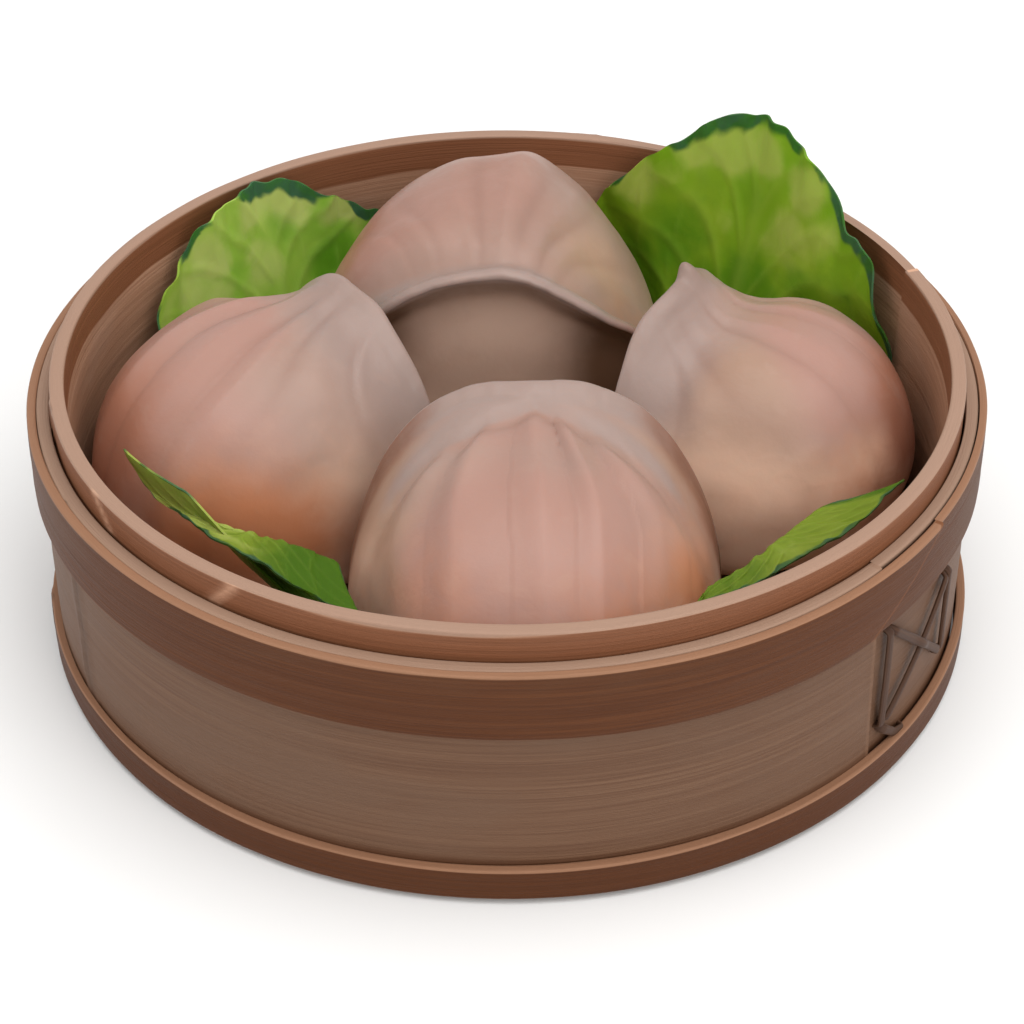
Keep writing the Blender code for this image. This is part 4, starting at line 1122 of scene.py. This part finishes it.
def leaf(name, cols=132, rows=134):
    d = LEAVES[name]
    g, limit = leaf_surface(d, cols, rows)
    lipped = "lip" in d
    u = np.repeat(np.linspace(-1, 1, cols)[None], rows, 0)
    v = np.repeat(np.linspace(0, 1, rows)[:, None], cols, 1)
    rim = np.minimum(1.0, np.minimum((1 - v) / 0.16, (1 - np.abs(u)) / 0.12))
    frill = 1 - smooth(rim, 0.0, 1.0)
    r, az, z = g[..., 0], g[..., 1], g[..., 2]
    seed = d["seed"]
    # ruffles in and out, strongest at the rim
    much = 0.25 if lipped else 1.0
    wave = much * (0.8 * np.sin(8 * u + seed) * smooth(v, 0.6, 1.0)
                   + 0.45 * np.sin(21 * u + 2.0 * np.sin(5 * v) + 2 * seed) * frill * smooth(v, 0.45, 0.9)
                   + 0.20 * np.sin(47 * u + 7 * v + seed) * frill ** 2 * smooth(v, 0.45, 0.9))
    above = z > FLOOR_Z + 0.25
    r = np.where(above, r + wave, r)
    hold = BELLIES.reach(az, z) + LEAF_CLEAR
    r = np.where(above, np.maximum(r, hold), r)
    free = limit + 1.2 * smooth(z, RING_TOP + 0.8, RING_TOP + 2.5)
    r = np.minimum(r, free)
    p = np.stack([r * np.cos(az), r * np.sin(az), z], -1)
    # millimetres from the rim, along the leaf and across it
    run = np.cumsum(np.linalg.norm(np.diff(p, axis=0, prepend=p[:1]), axis=-1), 0)
    wide = np.cumsum(np.linalg.norm(np.diff(p, axis=1, prepend=p[:, :1]), axis=-1), 1)
    side = np.minimum(wide, wide[:, -1:] - wide) + 6 * (1 - smooth(v, 0.35, 0.75))
    edge = np.minimum(run[-1:] - run, side)
    du, dv = np.gradient(p, axis=1), np.gradient(p, axis=0)
    n = np.cross(du, dv)
    n /= np.maximum(np.linalg.norm(n, axis=2), 1e-9)[..., None]
    vein = veins(u, v, seed)
    blister = fbm(np.stack([u * 30, v * 45, 0 * u + 11 * seed], -1), 4.2, 3, 70 + seed)
    lift = (0.12 if lipped else 0.22) * blister * (1 - vein) * (1 - frill * 0.5) - 0.20 * vein
    p = p + n * (np.where(z > FLOOR_Z + 0.6, lift, 0.4 * lift))[..., None]
    half = 0.23 - 0.09 * frill + 0.10 * vein
    a, b = p + n * half[..., None], p - n * half[..., None]
    verts = np.concatenate([a.reshape(-1, 3), b.reshape(-1, 3)])
    m = rows * cols
    top = grid_faces(rows, cols)
    low = grid_faces(rows, cols, start=m)[:, ::-1]
    rimv = np.concatenate([np.arange(cols), np.arange(1, rows) * cols + cols - 1,
                           (rows - 1) * cols + np.arange(cols - 2, -1, -1),
                           np.arange(rows - 2, 0, -1) * cols])
    nxt = np.roll(rimv, -1)
    wall = np.stack([nxt, rimv, m + rimv, m + nxt], 1)
    uneven = (fbm(np.stack([u * 26, v * 30, 0 * u + 3 * seed], -1), 6.0, 3, 20 + seed)
              + 0.5 * fbm(np.stack([u * 26, v * 40, 0 * u + 3 * seed], -1), 2.4, 2, 25 + seed))
    if lipped:
        margin = 0.75 * (1 - smooth(edge + 0.8 * uneven, 0.1, 0.8))
    else:
        knots = np.array(d["margin"], float)
        broad = np.interp(np.degrees(az) % 360, knots[:, 0], knots[:, 1])
        margin = 1.0 * (1 - smooth(edge + 3.0 * uneven, 0.1 * broad, 1.2 * broad)) * smooth(broad, 0.2, 1.8)
    marks = {"leaf": np.tile(np.stack([margin, vein * (0.4 if lipped else 0.5), v], -1).reshape(-1, 3), (2, 1)),
             "tone": np.tile(leaf_tones(d, u, v, edge, p).reshape(-1, 3), (2, 1))}
    ob = make(name.replace("leaf", "lettuce"), verts, [top, low, wall], d["mat"], marks, sharp=75)
    return finish_piece(ob, [name])


for name in LEAVES:
    leaf(name)


# ------------------------------------------------------------------ stage
def floor():
    m = Look("floor", Roughness=0.75, Specular_IOR_Level=0.15)
    co = m.object_coords()
    cloud = m.noise(co, 3.0, 3.0, 0.5)
    m.wire("Base Color", m.mix(cloud, (0.80, 0.80, 0.795), (0.83, 0.83, 0.825)))
    n = 96
    rings = [0.0, 0.2, 0.6, 1.5, 4.0]
    verts = [(0.0, 0.0, 0.0)]
    for r in rings[1:]:
        verts += [(r * math.cos(TAU * k / n) / MM, r * math.sin(TAU * k / n) / MM, 0.0) for k in range(n)]
    j = np.arange(n)
    faces = [np.stack([0 * j, 1 + j, 1 + (j + 1) % n], 1)]
    quads = [np.stack([1 + (i - 1) * n + j, 1 + i * n + j, 1 + i * n + (j + 1) % n,
                       1 + (i - 1) * n + (j + 1) % n], 1) for i in range(1, len(rings) - 1)]
    ob = make("floor", verts, faces + quads, m.mat)
    ob.location.z = -0.0003
    return ob


floor()


def softbox(name, place, aim, size, power, colour=(1, 1, 1)):
    light = bpy.data.lights.new(name, "AREA")
    light.shape = "RECTANGLE"
    light.size, light.size_y = size
    light.energy = power
    light.color = colour
    ob = bpy.data.objects.new(name, light)
    bpy.context.scene.collection.objects.link(ob)
    ob.location = place
    ob.rotation_euler = (Vector(aim) - Vector(place)).to_track_quat("-Z", "Y").to_euler()
    return ob


softbox("overhead", (0.12, -0.10, 0.85), (0, 0, 0.02), (0.9, 0.9), 5.8, (1.0, 0.985, 0.97))
softbox("left_fill", (-0.85, -0.35, 0.45), (0, 0, 0.02), (0.7, 0.7), 1.8, (1.0, 0.99, 0.98))
softbox("right_front", (0.62, -0.80, 0.48), (0, 0, 0.02), (0.7, 0.7), 4.0, (1.0, 0.985, 0.965))

world = bpy.data.worlds.new("studio")
world.use_nodes = True
world.node_tree.nodes["Background"].inputs["Color"].default_value = (1.0, 1.0, 1.0, 1.0)
world.node_tree.nodes["Background"].inputs["Strength"].default_value = 0.72
bpy.context.scene.world = world

# The camera looks down at 36.5 degrees from in front.
camera = bpy.data.cameras.new("camera")
camera.sensor_width = 36.0
camera.lens = 90.94
camera.clip_start, camera.clip_end = 0.01, 20.0
eye = bpy.data.objects.new("camera", camera)
bpy.context.scene.collection.objects.link(eye)
eye.location = (0.000568, -0.294892, 0.230875)
eye.rotation_euler = Vector((0.0, 0.80375, -0.59498)).to_track_quat("-Z", "Y").to_euler()
bpy.context.scene.camera = eye
bpy.context.scene.view_settings.view_transform = "Standard"
